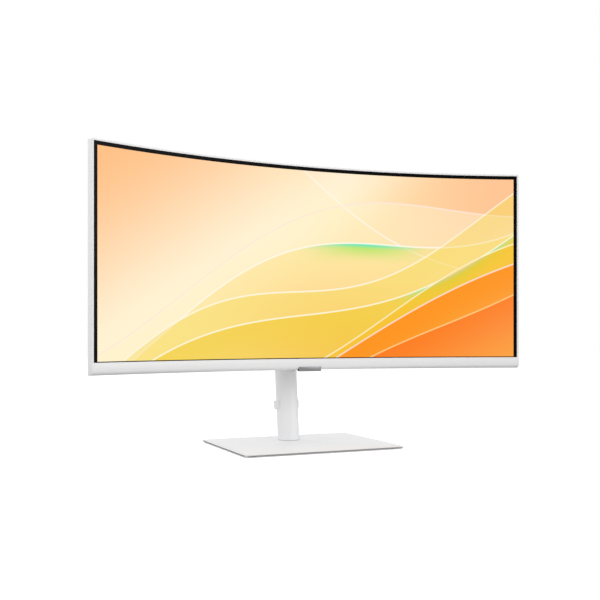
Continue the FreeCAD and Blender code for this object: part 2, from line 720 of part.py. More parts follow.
def build_mounting():
    """The steel plate behind the back wall, its posts, and the threaded inserts in it."""
    plate = centred_box("BackPlate", BACK_PLATE, "BackPlateThick", BACK_PLATE, 0, BACK_PLATE_Y,
                        "%s - %s / 2" % (HINGE_Z, BACK_PLATE))
    through = "BackPlateThick + 2 * Over"
    holes = rods_at("PlateInsertHole", "InsertRadius + HoleGap", through, "VesaSpacing",
                    BACK_PLATE_Y + " - Over")
    holes += rods_at("PlateScrewHole", "ScrewRadius + RunGap", through, "ScrewSpacing",
                     BACK_PLATE_Y + " - Over")
    keep("vesa_plate", cut("VesaPlate", plate, *holes))
    inserts = []
    for number, (x, z) in enumerate(corners("VesaSpacing"), start=1):
        start = "%s - InsertLength" % BACK_Y
        outer = backward("Insert%d" % number, "InsertRadius", "InsertLength", x, start, z)
        bore = backward("InsertBore%d" % number, "VesaHole", "InsertLength + 2 * Over", x,
                        start + " - Over", z)
        inserts.append(cut("InsertPiece%d" % number, outer, bore))
    keep("vesa_inserts", group("VesaInserts", inserts))
    posts = []
    for number, (x, z) in enumerate(corners(POST_SPACING), start=1):
        length = "%s + ScreenSetback" % BACK_PLATE_Y
        post = backward("Post%d" % number, "PostRadius", length, x, "-ScreenSetback", z)
        panel = upright("PostPanel%d" % number, CHASSIS_BACK, "Tall", 0, CENTRE_Y, 0)
        posts.append(cut("PostPiece%d" % number, post, panel))
    keep("mount_posts", group("MountPosts", posts))


# The larger parts on each board, as shares: across and up the board, then width and height of the
# part in shares of the board, and depth in shares of the room behind the board.
MAIN_PARTS = ((0.35, 0.5, 0.15, 0.29, 0.21), (0.58, 0.58, 0.08, 0.115, 0.1),
              (0.58, 0.385, 0.08, 0.115, 0.1), (0.15, 0.635, 0.09, 0.135, 0.16),
              (0.75, 0.58, 0.13, 0.077, 0.26), (0.15, 0.385, 0.04, 0.077, 0.16))
POWER_PARTS = ((0.09, 0.54, 0.32, 0.33, 0.83), (0.5, 0.58, 0.24, 0.29, 0.73),
               (0.78, 0.615, 0.13, 0.25, 0.62), (0.54, 0.29, 0.22, 0.17, 0.62))


def build_board(label, left, width, components):
    """A board on its spacers, with its larger parts in a second sub-part."""
    sheet_box = place(box(label + "Sheet", width, "BoardThick", "BoardHeight"), left, BOARD_Y, BOARD_LOW)
    notches = rods_at(label + "Notch", "PostRadius + HoleGap", "BoardThick + 2 * Over", POST_SPACING,
                      BOARD_Y + " - Over")
    keep(label, cut(label + "Cut", sheet_box, *notches))
    pieces = []
    for number, (across, up, wide, tall, deep) in enumerate(components, start=1):
        piece = box("%sPart%d" % (label, number), "%s * %s" % (wide, width), "%s * %s" % (deep, PART_ROOM),
                    "%s * BoardHeight" % tall)
        pieces.append(place(piece, "%s + %s * %s" % (left, across, width), BOARD_BACK_Y,
                            "%s + %s * BoardHeight" % (BOARD_LOW, up)))
    keep(label + "_parts", group(label + "Parts", pieces))


def build_boards():
    """The tray, the two boards on it, and their spacers."""
    tray = centred_box("Tray", BULGE_WIDTH + " - 2 * TrayInset", "TrayThick", "BoardHeight + TrayRise", 0,
                       TRAY_Y, BOARD_LOW)
    holes = rods_at("TrayHole", "PostRadius + HoleGap", "TrayThick + 2 * Over", POST_SPACING,
                    TRAY_Y + " - Over")
    keep("board_tray", cut("BoardTray", tray, *holes))
    build_board("main_board", MAIN_LEFT, MAIN_WIDTH, MAIN_PARTS)
    build_board("power_board", POWER_LEFT, "PowerBoardWidth", POWER_PARTS)
    spacers = []
    for left, width in ((MAIN_LEFT, MAIN_WIDTH), (POWER_LEFT, "PowerBoardWidth")):
        for across in (left + " + SpacerInset", "%s + %s - SpacerInset" % (left, width)):
            for up in (BOARD_LOW + " + SpacerRise", BOARD_LOW + " + BoardHeight - SpacerInset"):
                name = "Spacer%d" % (len(spacers) + 1)
                start = "%s + TrayThick" % TRAY_Y
                spacers.append(backward(name, "SpacerRadius", "SpacerLength", across, start, up))
    keep("board_spacers", group("BoardSpacers", spacers))
    keep("timing_board", centred_box("TimingBoard", "TimingBoardWidth", "BoardThick",
                                     "TimingBoardHeight", 0, "TimingSetback - ScreenSetback",
                                     HEAD_LOW + " + TimingRise"))


def build_ribbon():
    """The flat ribbon from the timing board up to the main board."""
    body = doc.addObject("PartDesign::Body", "PanelRibbon")
    low = "%s + TimingRise + TimingBoardHeight" % HEAD_LOW
    plug = low + " - RibbonLane"
    start = "TimingSetback + BoardThick - ScreenSetback"
    lane = start + " + RibbonLane"
    near = TRAY_Y + " + 2 * RibbonStep"
    turn = BOARD_LOW + " - 2 * RibbonStep"
    bend = turn + " - 3 * RibbonStep"
    shelf = turn + " + RibbonStep"
    end = turn + " + 1.2 * RibbonStep"
    thick = " + RibbonThick"
    outline = [(start, plug), (start + thick, plug), (lane + thick, low), (lane + thick, bend),
               (near, shelf), (BOARD_Y, end), (BOARD_Y, end + thick), (near, shelf + thick),
               (lane, bend + thick), (lane, low), (start, plug + thick)]
    sketch = sketch_on(body, "YZ_Plane", "RibbonProfile", [outline],
                       offset="RibbonPlace - RibbonWidth / 2")
    pad = body.newObject("PartDesign::Pad", "RibbonPad")
    pad.Profile = sketch
    pad.setExpression("Length", sized("RibbonWidth"))
    keep("panel_ribbon", place(body))


# Sockets from left to right seen from the front: label, centres, width, thickness, and the tongue or
# pins inside as (offset across, width, thickness, share of the depth that they fill).
BY_POST = "%s / 2" % POST_SPACING
SOCKETS = (
    ("power_inlet", ("-InletPlace",), "InletWidth", "InletThick",
     ((-7.0, 2.0, 4.0, 0.7), (0.0, 2.0, 4.0, 0.7), (7.0, 2.0, 4.0, 0.7))),
    ("hdmi_sockets", (-36.0, -14.0), 15.6, 6.2, ((0.0, 11.0, 0.9, 0.85),)),
    ("displayport_socket", (8.0,), 16.6, 6.6, ((0.0, 12.0, 0.9, 0.85),)),
    ("usb_c_socket", (27.0,), 9.8, 4.2, ((0.0, 6.2, 0.7, 0.85),)),
    ("usb_a_sockets", (BY_POST + " - 14", BY_POST + " + 14"), 14.4, 7.0, ((0.0, 10.6, 1.8, 0.85),)),
    ("ethernet_socket", (BY_POST + " + 35",), 16.4, 14.0, ((0.0, 9.0, 0.8, 0.6),)),
)


def socket_piece(name, centre, width, thick, contents):
    """One socket that opens downwards, with its tongue or pins."""
    low = "%s + SocketSink" % BAY_TOP
    shell = centred_box(name, width, thick, "SocketDepth", centre, BOARD_BACK_Y, low)
    hollow = centred_box(name + "Hollow", "%s - 2 * SocketWall" % width, "%s - 2 * SocketWall" % thick,
                         "SocketDepth - SocketWall", centre, BOARD_BACK_Y + " + SocketWall", low)
    pieces = [cut(name + "Shell", shell, hollow)]
    for number, (across, wide, deep, share) in enumerate(contents, start=1):
        reach = "(SocketDepth * %s)" % share
        floor = "%s + SocketDepth - %s" % (low, reach)
        middle = "%s + %s / 2 - %s / 2" % (BOARD_BACK_Y, thick, deep)
        pieces.append(centred_box("%sTongue%d" % (name, number), wide, deep, reach,
                                  "%s + %s" % (centre, across), middle, floor))
    return fuse(name + "Joined", *pieces)


def socket_clearance(name, centre, width, thick):
    """The hole in the socket plate round one socket."""
    return centred_box(name + "Clear", "%s + 2 * SeatGap" % width, "%s + 2 * SeatGap + Over" % thick,
                       "IoPlateThick + 2 * Over", centre, BOARD_BACK_Y + " - Over",
                       BAY_TOP + " + CoverWall - Over")


def build_sockets():
    """The row of sockets that open down into the bay, and the plate that they stand in."""
    clear = []
    for label, centres, width, thick, contents in SOCKETS:
        pieces = []
        for number, centre in enumerate(centres, start=1):
            name = "%s%d" % (label, number)
            pieces.append(socket_piece(name, centre, width, thick, contents))
            clear.append(socket_clearance(name, centre, width, thick))
        keep(label, pieces[0] if len(pieces) == 1 else group(label + "Group", pieces))
    low = "%s + SocketSink" % BAY_TOP
    jack = centred_box("Jack", "JackSize", "JackSize", "SocketDepth", JACK_X, BOARD_BACK_Y, low)
    bore = upright("JackHole", "JackBore", "SocketDepth - JackFloor", JACK_X,
                   BOARD_BACK_Y + " + JackSize / 2", low)
    keep("audio_jack", cut("AudioJack", jack, bore))
    clear.append(socket_clearance("Jack", JACK_X, "JackSize", "JackSize"))
    plate = centred_box("IoPlate", BAY_WIDTH + " - 2 * IoPlateInset", SLOT_DEPTH, "IoPlateThick", 0,
                        SLOT_Y, BAY_TOP + " + CoverWall")
    keep("socket_plate", cut("SocketPlate", plate, *clear))


def build_bracket():
    """The plate screwed to the back, with the knuckle that turns on the tilt shaft."""
    plate = centred_box("BracketPlate", "BracketSize", "BracketThick", "BracketSize", 0, BACK_Y,
                        "%s - BracketSize / 2" % HINGE_Z)
    front = "%s + BracketThick - Over" % BACK_Y
    arm = centred_box("BracketArm", "KnuckleWidth", "%s - (%s)" % (HINGE_SETBACK, front), "ArmHeight",
                      0, front, "%s - ArmHeight / 2" % HINGE_Z)
    barrel = crosswise("Knuckle", "KnuckleRadius", "KnuckleWidth", "-KnuckleWidth / 2", HINGE_SETBACK,
                       HINGE_Z)
    bore = crosswise("KnuckleBore", "ShaftRadius + RunGap", "KnuckleWidth + 2 * Over",
                     "-KnuckleWidth / 2 - Over", HINGE_SETBACK, HINGE_Z)
    holes = rods_at("BracketHole", "ScrewRadius + HoleGap", "BracketThick + 2 * Over", "ScrewSpacing",
                    BACK_Y + " - Over")
    whole = fuse("BracketWhole", plate, arm, barrel)
    keep("tilt_bracket", cut("TiltBracket", whole, bore, *holes))
    screws = []
    seat = "%s + BracketThick" % BACK_Y
    for number, (x, z) in enumerate(corners("ScrewSpacing"), start=1):
        shank = backward("ScrewShank%d" % number, "ScrewRadius", "ScrewLength", x,
                         seat + " - ScrewLength", z)
        head = backward("ScrewHead%d" % number, "ScrewHeadRadius", "ScrewHeadHeight", x, seat, z)
        drive = backward("ScrewDrive%d" % number, "DriveRadius", "ScrewHeadHeight", x,
                         seat + " + ScrewHeadHeight - DriveDepth", z)
        screws.append(cut("Screw%d" % number, fuse("ScrewWhole%d" % number, shank, head), drive))
    keep("bracket_screws", group("BracketScrews", screws))


def build_lift_head():
    """The casting on top of the lift tube, forked round the knuckle."""
    body = doc.addObject("PartDesign::Body", "LiftHeadBlock")
    low = HINGE_Z + " - LiftHeadDrop"
    high = HINGE_Z + " + LiftHeadRise"
    knee = HINGE_SETBACK + " + HingeRadius"
    outline = [(HINGE_SETBACK, HINGE_Z + " + HingeRadius"), (knee, high), (LIFT_HEAD_BACK, high),
               (LIFT_HEAD_BACK, low), (knee, low), (HINGE_SETBACK, HINGE_Z + " - HingeRadius")]
    sketch = sketch_on(body, "YZ_Plane", "LiftHeadProfile", [outline])
    pad = body.newObject("PartDesign::Pad", "LiftHeadPad")
    pad.Profile = sketch
    pad.SideType = "Symmetric"
    pad.setExpression("Length", sized("2 * " + EAR_OUTER))
    place(body)
    doc.recompute()
    back = pad.Shape.BoundBox.YMax
    round_edges(body, "LiftHeadEdges", "LiftHeadRound",
                lambda edge: all(abs(point.y - back) < 0.01 for point in edge_points(edge)))
    round_body = crosswise("HingeRound", "HingeRadius", "2 * " + EAR_OUTER, "-" + EAR_OUTER,
                           HINGE_SETBACK, HINGE_Z)
    slot = centred_box("HeadSlot", "2 * " + EAR_INNER, "HingeRadius + Over + KnuckleRadius + KnuckleGap",
                       "LiftHeadRise + LiftHeadDrop + 2 * Over", 0,
                       HINGE_SETBACK + " - HingeRadius - Over", HINGE_Z + " - LiftHeadDrop - Over")
    bore = crosswise("ShaftBore", "ShaftRadius", "2 * %s + 2 * Over" % EAR_OUTER,
                     "-%s - Over" % EAR_OUTER, HINGE_SETBACK, HINGE_Z)
    seat = leaning("LiftSocket", LIFT_RADIUS, LIFT_START, "%s - %s" % (LIFT_END, LIFT_START))
    keep("lift_head", cut("LiftHead", fuse("LiftHeadWhole", body, round_body), slot, bore, seat))


def build_tilt_parts():
    """The tilt shaft, its friction washers and the caps over its ends."""
    keep("tilt_shaft", crosswise("TiltShaft", "ShaftRadius", "2 * " + EAR_OUTER, "-" + EAR_OUTER,
                                 HINGE_SETBACK, HINGE_Z))
    washers = []
    caps = []
    for number, start in enumerate(("KnuckleWidth / 2 + ThrustGap",
                                    "-KnuckleWidth / 2 - ThrustGap - WasherThick"), start=1):
        disc = crosswise("Washer%d" % number, "WasherRadius", "WasherThick", start, HINGE_SETBACK,
                         HINGE_Z)
        hole = crosswise("WasherHole%d" % number, "ShaftRadius + RunGap", "WasherThick + 2 * Over",
                         start + " - Over", HINGE_SETBACK, HINGE_Z)
        washers.append(cut("TiltWasher%d" % number, disc, hole))
    for number, start in enumerate((EAR_OUTER, "-%s - HingeCapThick" % EAR_OUTER), start=1):
        caps.append(crosswise("HingeCap%d" % number, "HingeRadius", "HingeCapThick", start,
                              HINGE_SETBACK, HINGE_Z))
    keep("tilt_washers", group("TiltWashers", washers))
    keep("hinge_caps", group("HingeCaps", caps))


def build_lift():
    """The tube that rises in the column, the bush on its foot and the gas spring's rod."""
    length = "%s - %s" % (LIFT_END, LIFT_START)
    below = LIFT_START + " - Over"
    outer = leaning("LiftTubeOuter", LIFT_RADIUS, LIFT_START, length)
    inner = leaning("LiftTubeInner", LIFT_RADIUS + " - LiftWall", below, length + " + 2 * Over")
    keep("lift_tube", cut("LiftTube", outer, inner))
    sleeve = leaning("LowerBushOuter", BORE_RADIUS + " - RunGap", LIFT_START, "LowerBushLength")
    bore = leaning("LowerBushBore", LIFT_RADIUS + " + RunGap", below, "LowerBushLength + 2 * Over")
    keep("lower_bush", cut("LowerBush", sleeve, bore))
    stem = leaning("Rod", "RodRadius", LIFT_START, length)
    piston = leaning("Piston", "GasRadius - GasWall - RunGap", LIFT_START, "PistonLength")
    keep("gas_rod", fuse("GasRod", stem, piston))


def level_block(name, low, high):
    """A wide block between two heights, to trim leaning pieces level."""
    return centred_box(name, "LevelSize", "LevelSize", "%s - (%s)" % (high, low), 0, "-LevelSize / 2",
                       low)


def build_column():
    """The outer column, standing level on the foot, and what is fixed in it."""
    outer = leaning("ColumnOuter", "ColumnRadius", "-ColumnSink", COLUMN_LENGTH + " + ColumnSink")
    inner = leaning("ColumnInner", BORE_RADIUS, "-ColumnSink - Over",
                    COLUMN_LENGTH + " + ColumnSink + 2 * Over")
    below = level_block("ColumnTrim", "-LevelSize / 2", FOOT_TOP + " + SwivelGap")
    keep("column_tube", cut("ColumnTube", outer, inner, below))
    plug = leaning("HubRound", BORE_RADIUS + " - ThrustGap", "-ColumnSink", "HubTop + 2 * ColumnSink")
    slab = common("HubSlab", plug, level_block("HubLevel", HUB_LOW, "HubTop"))
    bore = upright("HubBore", SPIGOT_RADIUS + " + RunGap", "HubTop + 2 * Over", 0, 0, 0)
    keep("swivel_hub", cut("SwivelHub", slab, bore))
    disc = upright("ThrustDisc", FLANGE_RADIUS + " - ThrustInset", "ThrustWasher", 0, 0,
                   "HubTop + ThrustGap")
    hole = upright("ThrustHole", "StudRadius + HoleGap", "ThrustWasher + 2 * Over", 0, 0,
                   "HubTop + ThrustGap - Over")
    keep("swivel_washer", cut("SwivelWasher", disc, hole))
    keep("spring_seat", leaning("SpringSeat", BORE_RADIUS + " - ThrustGap", "GasStart - SeatHeight",
                                "SeatHeight"))
    barrel = leaning("GasBarrel", "GasRadius", "GasStart", GAS_END + " - GasStart")
    chamber = leaning("GasChamber", "GasRadius - GasWall", "GasStart + GasFloor",
                      GAS_END + " - GasStart - GasFloor - GasCap")
    mouth = leaning("GasMouth", "RodRadius + RunGap", GAS_END + " - GasCap - Over", "GasCap + 2 * Over")
    keep("gas_cylinder", cut("GasCylinder", barrel, chamber, mouth))
    collar = leaning("BushCollar", "ColumnRadius", COLUMN_LENGTH, "BushFlange")
    sleeve = leaning("BushSleeve", BORE_RADIUS + " - RunGap", COLUMN_LENGTH + " - BushLength",
                     "BushLength + Over")
    way = leaning("BushWay", LIFT_RADIUS + " + RunGap", COLUMN_LENGTH + " - BushLength - Over",
                  "BushLength + BushFlange + 2 * Over")
    keep("top_bush", cut("TopBush", fuse("BushWhole", collar, sleeve), way))


def build_clip():
    """The cable clip: a band that grips the column from behind, with an open loop at its back."""
    low = "(ClipLow - Over)"
    through = "ClipHeight + 2 * Over"
    outer = leaning("ClipBand", "ColumnRadius + ClipWall", "ClipLow", "ClipHeight")
    loop = leaning("ClipLoop", "LoopRadius", "ClipLow", "ClipHeight", 0, LOOP_OFFSET)
    loop_inner = leaning("ClipLoopInner", "LoopRadius - ClipWall", low, through, 0, LOOP_OFFSET)
    grip = leaning("ClipGrip", "ColumnRadius + RunGap", low, through)
    inner = leaning("ClipLoopWall", "ColumnRadius + ClipWall", low, through)
    open_loop = cut("ClipOpenLoop", loop, loop_inner, inner)
    band = cut("ClipBandCut", outer, grip)
    whole = fuse("ClipWhole", band, open_loop)
    front = bind(rod("ClipFront", "2 * ColumnRadius", through), Angle="ClipMouth")
    spin = "rotation(vector(1; 0; 0); -Lean) * rotation(vector(0; 0; 1); -90 - ClipMouth / 2)"
    front.setExpression("Placement", sized(
        "placement(vector(0; SwivelSetback + %s * sin(Lean); %s * cos(Lean)); %s)" % (low, low, spin)))
    slit = lean_place(box("ClipSlit", "LoopMouth", "LoopRadius", through), "-LoopMouth / 2",
                      LOOP_OFFSET + " + 2 * Over", low)
    keep("cable_clip", cut("CableClip", whole, front, slit))


def foot_screws():
    """The places of the three screws under the swivel, as pairs of formulas."""
    places = []
    for step in range(3):
        angle = 90 + 120 * step
        places.append(("%s * cos(%d)" % (FOOT_SCREW_CIRCLE, angle),
                       "%s * sin(%d)" % (FOOT_SCREW_CIRCLE, angle)))
    return places


def foot_screw(name, x, y, gap, length):
    """A countersunk screw from below, or the hole for one when a gap is given."""
    cone = doc.addObject("Part::Cone", name + "Cone")
    bind(cone, Radius1="CountersinkRadius + %s" % gap, Radius2="ScrewRadius + %s" % gap,
         Height="CountersinkDepth")
    place(cone, x, y, "PadHeight")
    shank = upright(name + "Shank", "ScrewRadius + %s" % gap, length, x, y, "PadHeight")
    return fuse(name, cone, shank)


def build_foot():
    """The foot plate on its pads, and the swivel pedestal screwed to it."""
    body = doc.addObject("PartDesign::Body", "FootPlate")
    outline = rectangle("-FootWidth / 2", "-FootDepth / 2", "FootWidth / 2", "FootDepth / 2")
    sketch = sketch_on(body, "XY_Plane", "FootOutline", [outline], offset="PadHeight")
    pad = body.newObject("PartDesign::Pad", "FootPad")
    pad.Profile = sketch
    pad.setExpression("Length", sized("FootThick"))
    round_edges(body, "FootCorners", "FootCorner",
                lambda edge: abs(edge.tangentAt(edge.FirstParameter).z) > 0.99)
    top = SIZES["PadHeight"] + SIZES["FootThick"]
    round_edges(body, "FootEdge", "FootBevel",
                lambda edge: all(abs(point.z - top) < 0.01 for point in edge_points(edge)))
    holes = []
    screws = []
    threads = []
    for number, (x, y) in enumerate(foot_screws(), start=1):
        holes.append(foot_screw("FootHole%d" % number, x, y, "RunGap", "FootThick + Over"))
        screws.append(foot_screw("FootScrew%d" % number, x, y, "0", "FootScrewLength"))
        threads.append(upright("FootThread%d" % number, "ScrewRadius + RunGap",
                               "FootScrewLength + HoleGap", x, y, "PadHeight"))
    keep("base_plate", cut("BasePlate", body, *holes))
    keep("base_screws", group("BaseScrews", screws))
    pads = []
    for side in (-1, 1):
        for y in ("PadInset - FootDepth / 2", "FootDepth / 2 - PadInset"):
            pads.append(upright("Pad%d" % (len(pads) + 1), "PadRadius", "PadHeight",
                                "%d * (FootWidth / 2 - PadInset)" % side,
                                y + " - SwivelSetback", 0))
    keep("rubber_feet", group("RubberFeet", pads))
    flange = upright("Flange", FLANGE_RADIUS, "FlangeThick", 0, 0, FOOT_TOP)
    spigot = upright("Spigot", SPIGOT_RADIUS, "FlangeThick + SpigotHeight", 0, 0, FOOT_TOP)
    stud = upright("Stud", "StudRadius", "FlangeThick + SpigotHeight + StudHeight", 0, 0, FOOT_TOP)
    whole = fuse("PedestalWhole", flange, spigot, stud)
    keep("swivel_pedestal", cut("SwivelPedestal", whole, *threads))
    nut = bind(doc.addObject("Part::Prism", "NutHex"), Circumradius="NutRadius", Height="NutHeight")
    nut.Polygon = 6
    nut_low = "HubTop + 2 * ThrustGap + ThrustWasher"
    place(nut, 0, 0, nut_low)
    hole = upright("NutHole", "StudRadius + RunGap", "NutHeight + 2 * Over", 0, 0, nut_low + " - Over")
    keep("swivel_nut", cut("SwivelNut", nut, hole))


def build_badge(chin):
    """The blank badge that hangs from the chin, and the dark status window behind it."""
    body = doc.addObject("PartDesign::Body", "BadgePlate")
    low = HEAD_LOW + " - BadgeHang"
    high = low + " + BadgeHeight"
    half = "BadgeWidth / 2"
    outline = [("-%s + BadgeSlant" % half, low), ("%s - BadgeSlant" % half, low), (half, high),
               ("-" + half, high)]
    sketch = sketch_on(body, "XZ_Plane", "BadgeOutline", [outline])
    pad = body.newObject("PartDesign::Pad", "BadgePad")
    pad.Profile = sketch
    pad.setExpression("Length", sized("BadgeThick"))
    place(body, 0, BADGE_Y, 0)
    keep("badge_plate", body)
    block = centred_box("WindowBlock", "WindowWidth", "WindowDepth",
                        "BadgeHang - WindowGap + WindowRise", "WindowPlace", BADGE_Y,
                        low + " + WindowGap")
    keep("status_window", cut("StatusWindow", block, chin))


def build_jog():
    """The five-way button under the chin: its switch, cross pins, stem and cap."""
    front = JOG_Y + " - SwitchDepth / 2"
    switch_low = JOG_TOP + " + SwitchLift"
    keep("jog_switch", centred_box("JogSwitch", "SwitchWidth", "SwitchDepth", "SwitchHeight",
                                   "JogPlace", front, switch_low))
    keep("key_board", centred_box("KeyBoard", "PodWidth - 2 * CoverWall - 2 * KeyBoardInset",
                                  "SwitchDepth", "BoardThick", "JogPlace", front,
                                  switch_low + " + SwitchHeight"))
    across = crosswise("GimbalAcross", "GimbalRadius", "GimbalSpan", "JogPlace - GimbalSpan / 2", JOG_Y,
                       GIMBAL_Z)
    along = backward("GimbalAlong", "GimbalRadius", "GimbalSpan", "JogPlace",
                     JOG_Y + " - GimbalSpan / 2", GIMBAL_Z)
    keep("jog_gimbal", fuse("JogGimbal", across, along))
    keep("jog_stem", upright("JogStemRod", "JogStem", "StemReach + GimbalLift - StemGap", "JogPlace",
                             JOG_Y, JOG_TOP + " - StemReach"))
    cap = upright("JogCapRound", "JogRadius", "JogHeight", "JogPlace", JOG_Y, JOG_LOW)
    bore = upright("JogCapBore", "JogStem + RunGap", "StemReach + PressRoom + Over", "JogPlace", JOG_Y,
                   JOG_TOP + " - StemReach - PressRoom")
    keep("jog_cap", cut("JogCap", cap, bore))


def check_and_write():
    """Stop on any failed feature or shape, then write one file for each sub-part."""
    doc.recompute()
    for thing in doc.Objects:
        if "Invalid" in thing.State or "Error" in thing.State:
            raise RuntimeError("%s is %s" % (thing.Name, thing.State))
    for thing in parts:
        if thing.Shape.isNull() or not thing.Shape.isValid() or not thing.Shape.Solids:
            raise RuntimeError("%s has no valid solid" % thing.Label)
    os.makedirs("parts", exist_ok=True)
    for thing in parts:
        thing.Shape.exportStep("parts/%s.step" % thing.Label)
        print(thing.Label, len(thing.Shape.Solids), round(thing.Shape.Volume / 1000.0, 2))


make_sheet()
build_screen_layers()
build_chassis()
build_frame()
chin = build_chin()
build_rear_cover()
build_mounting()
build_boards()
build_ribbon()
build_sockets()
build_bracket()
build_lift_head()
build_tilt_parts()
build_lift()
build_column()
build_clip()
build_foot()
build_badge(chin)
build_jog()
check_and_write()
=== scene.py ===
import json
import logging
import math
from dataclasses import dataclass, field
from enum import Enum

import bmesh
import bpy
import numpy as np
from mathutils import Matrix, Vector

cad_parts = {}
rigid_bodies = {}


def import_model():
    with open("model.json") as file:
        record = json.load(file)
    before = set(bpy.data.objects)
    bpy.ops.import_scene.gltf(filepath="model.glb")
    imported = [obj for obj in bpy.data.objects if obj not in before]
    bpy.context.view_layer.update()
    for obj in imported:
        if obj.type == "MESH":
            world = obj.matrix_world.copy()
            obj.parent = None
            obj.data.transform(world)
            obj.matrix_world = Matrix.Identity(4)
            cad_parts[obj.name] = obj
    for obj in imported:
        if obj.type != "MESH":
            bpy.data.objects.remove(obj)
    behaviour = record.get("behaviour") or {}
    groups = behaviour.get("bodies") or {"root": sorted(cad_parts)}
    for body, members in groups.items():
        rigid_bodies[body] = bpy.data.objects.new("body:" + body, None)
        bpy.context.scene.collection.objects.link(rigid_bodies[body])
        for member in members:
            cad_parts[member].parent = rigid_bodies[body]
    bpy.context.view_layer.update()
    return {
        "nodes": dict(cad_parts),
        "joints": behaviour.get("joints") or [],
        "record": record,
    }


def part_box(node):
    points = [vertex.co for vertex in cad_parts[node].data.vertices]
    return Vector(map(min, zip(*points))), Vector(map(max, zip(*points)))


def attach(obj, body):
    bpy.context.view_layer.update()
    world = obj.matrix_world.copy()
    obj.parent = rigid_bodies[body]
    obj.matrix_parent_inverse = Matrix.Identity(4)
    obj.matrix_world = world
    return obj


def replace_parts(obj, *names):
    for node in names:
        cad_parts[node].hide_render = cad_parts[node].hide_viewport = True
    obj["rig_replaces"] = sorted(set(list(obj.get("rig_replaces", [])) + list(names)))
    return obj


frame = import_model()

LOG = logging.getLogger("monitor")
Colour = tuple[float, float, float, float]

CREASE = 32.0
"""Angle in degrees past which an edge stays sharp."""
MERGE_NEW = 1e-6
"""Distance at which doubles of a new mesh are one point."""
MERGE_CAD = 2e-6
"""The same for a copied node, whose points are rounded."""
FLAT_ANGLE = 0.6
"""Angle in degrees under which two neighbours of a copied node count as one face."""
PICTURE_SHAPE = 2.389
"""Width of the screen's map over its height."""


# ---------------------------------------------------------------------------------------------
# Where things are
# ---------------------------------------------------------------------------------------------
def joint(name: str) -> dict:
    """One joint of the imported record."""
    return next(item for item in frame["joints"] if item["name"] == name)


@dataclass(frozen=True)
class ScreenCurve:
    """The arc that the head follows: every depth is a larger circle about one upright axis."""

    radius: float = 1.1
    cell_thickness: float = 0.0018

    @property
    def axis_y(self) -> float:
        """How far back the curve's upright axis is. It is in front, so the number is negative."""
        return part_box("lcd_panel")[1].y - self.cell_thickness - self.radius

    def place(self, along: np.ndarray, depth: np.ndarray, height: np.ndarray) -> np.ndarray:
        """Turn places on the unrolled head into points.

        A point at arc length s and depth d is on a circle of radius R + d, at the angle s / R from
        straight back.

        Args:
            along: Arc length from the middle, on the screen's front surface.
            depth: Distance behind that surface.
            height: Height above the desk.

        Returns:
            Points, with the three coordinates last.
        """
        angle = along / self.radius
        reach = self.radius + depth
        return np.stack([reach * np.sin(angle), self.axis_y + reach * np.cos(angle),
                         height + 0.0 * angle], axis=-1)

    def half_arc(self, node: str, depth: float) -> float:
        """Half the arc length of a node whose widest point lies at a depth."""
        return self.radius * math.asin(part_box(node)[1].x / (self.radius + depth))


@dataclass(frozen=True)
class LeaningAxis:
    """The column's axis, which leans back from the swivel axis."""

    @property
    def foot(self) -> np.ndarray:
        """The point where the axis meets the desk."""
        return np.array([0.0, joint("swivel")["pos_m"][1], 0.0])

    @property
    def along(self) -> np.ndarray:
        """Unit direction up the axis."""
        direction = np.array(joint("height")["axis"], float)
        return direction / np.linalg.norm(direction)

    @property
    def back(self) -> np.ndarray:
        """Unit direction square to the axis, towards the back."""
        return np.array([0.0, self.along[2], -self.along[1]])

    def place(self, across: np.ndarray, back: np.ndarray, along: np.ndarray) -> np.ndarray:
        """Turn places in the column's own frame into points, coordinates last."""
        side = np.array([1.0, 0.0, 0.0])
        return (self.foot + across[..., None] * side + back[..., None] * self.back
                + along[..., None] * self.along)


# ---------------------------------------------------------------------------------------------
# Meshes
# ---------------------------------------------------------------------------------------------
def mesh_object(name: str, points: np.ndarray, faces: np.ndarray,
                caps: list[list[int]] | None = None,
                uv: np.ndarray | None = None) -> bpy.types.Object:
    """Make an object from whole arrays.

    Args:
        name: Name of the object.
        points: Vertex places, one row each.
        faces: Four vertex numbers for each quad.
        caps: Faces of more corners that close the ends.
        uv: One pair for each vertex.

    Returns:
        The new object, in the scene at the origin.
    """
    mesh = bpy.data.meshes.new(name)
    mesh.from_pydata(points.reshape(-1, 3).tolist(), [], faces.tolist() + (caps or []))
    if uv is not None:
        corners = np.empty(len(mesh.loops), np.int32)
        mesh.loops.foreach_get("vertex_index", corners)
        mesh.uv_layers.new(name="Surface").data.foreach_set("uv", uv[corners].ravel())
    mesh.validate()
    made = bpy.data.objects.new(name, mesh)
    bpy.context.scene.collection.objects.link(made)
    return made


def grid_faces(rows: int, columns: int, wrap_rows: bool = False,
               wrap_columns: bool = False) -> np.ndarray:
    """Quads of a grid of points, row by row.

    Quad (i, j) joins points (i, j), (i, j+1), (i+1, j+1) and (i+1, j), with numbers taken round
    where the grid wraps.

    Args:
        rows: How many rows of points.
        columns: How many points in a row.
        wrap_rows: Join the last row to the first.
        wrap_columns: Join the last point of each row to its first.

    Returns:
        Four vertex numbers for each quad.
    """
    i, j = np.meshgrid(np.arange(rows if wrap_rows else rows - 1),
                       np.arange(columns if wrap_columns else columns - 1), indexing="ij")
    above, beside = (i + 1) % rows, (j + 1) % columns
    return np.stack([i * columns + j, i * columns + beside, above * columns + beside,
                     above * columns + j], axis=-1).reshape(-1, 4)


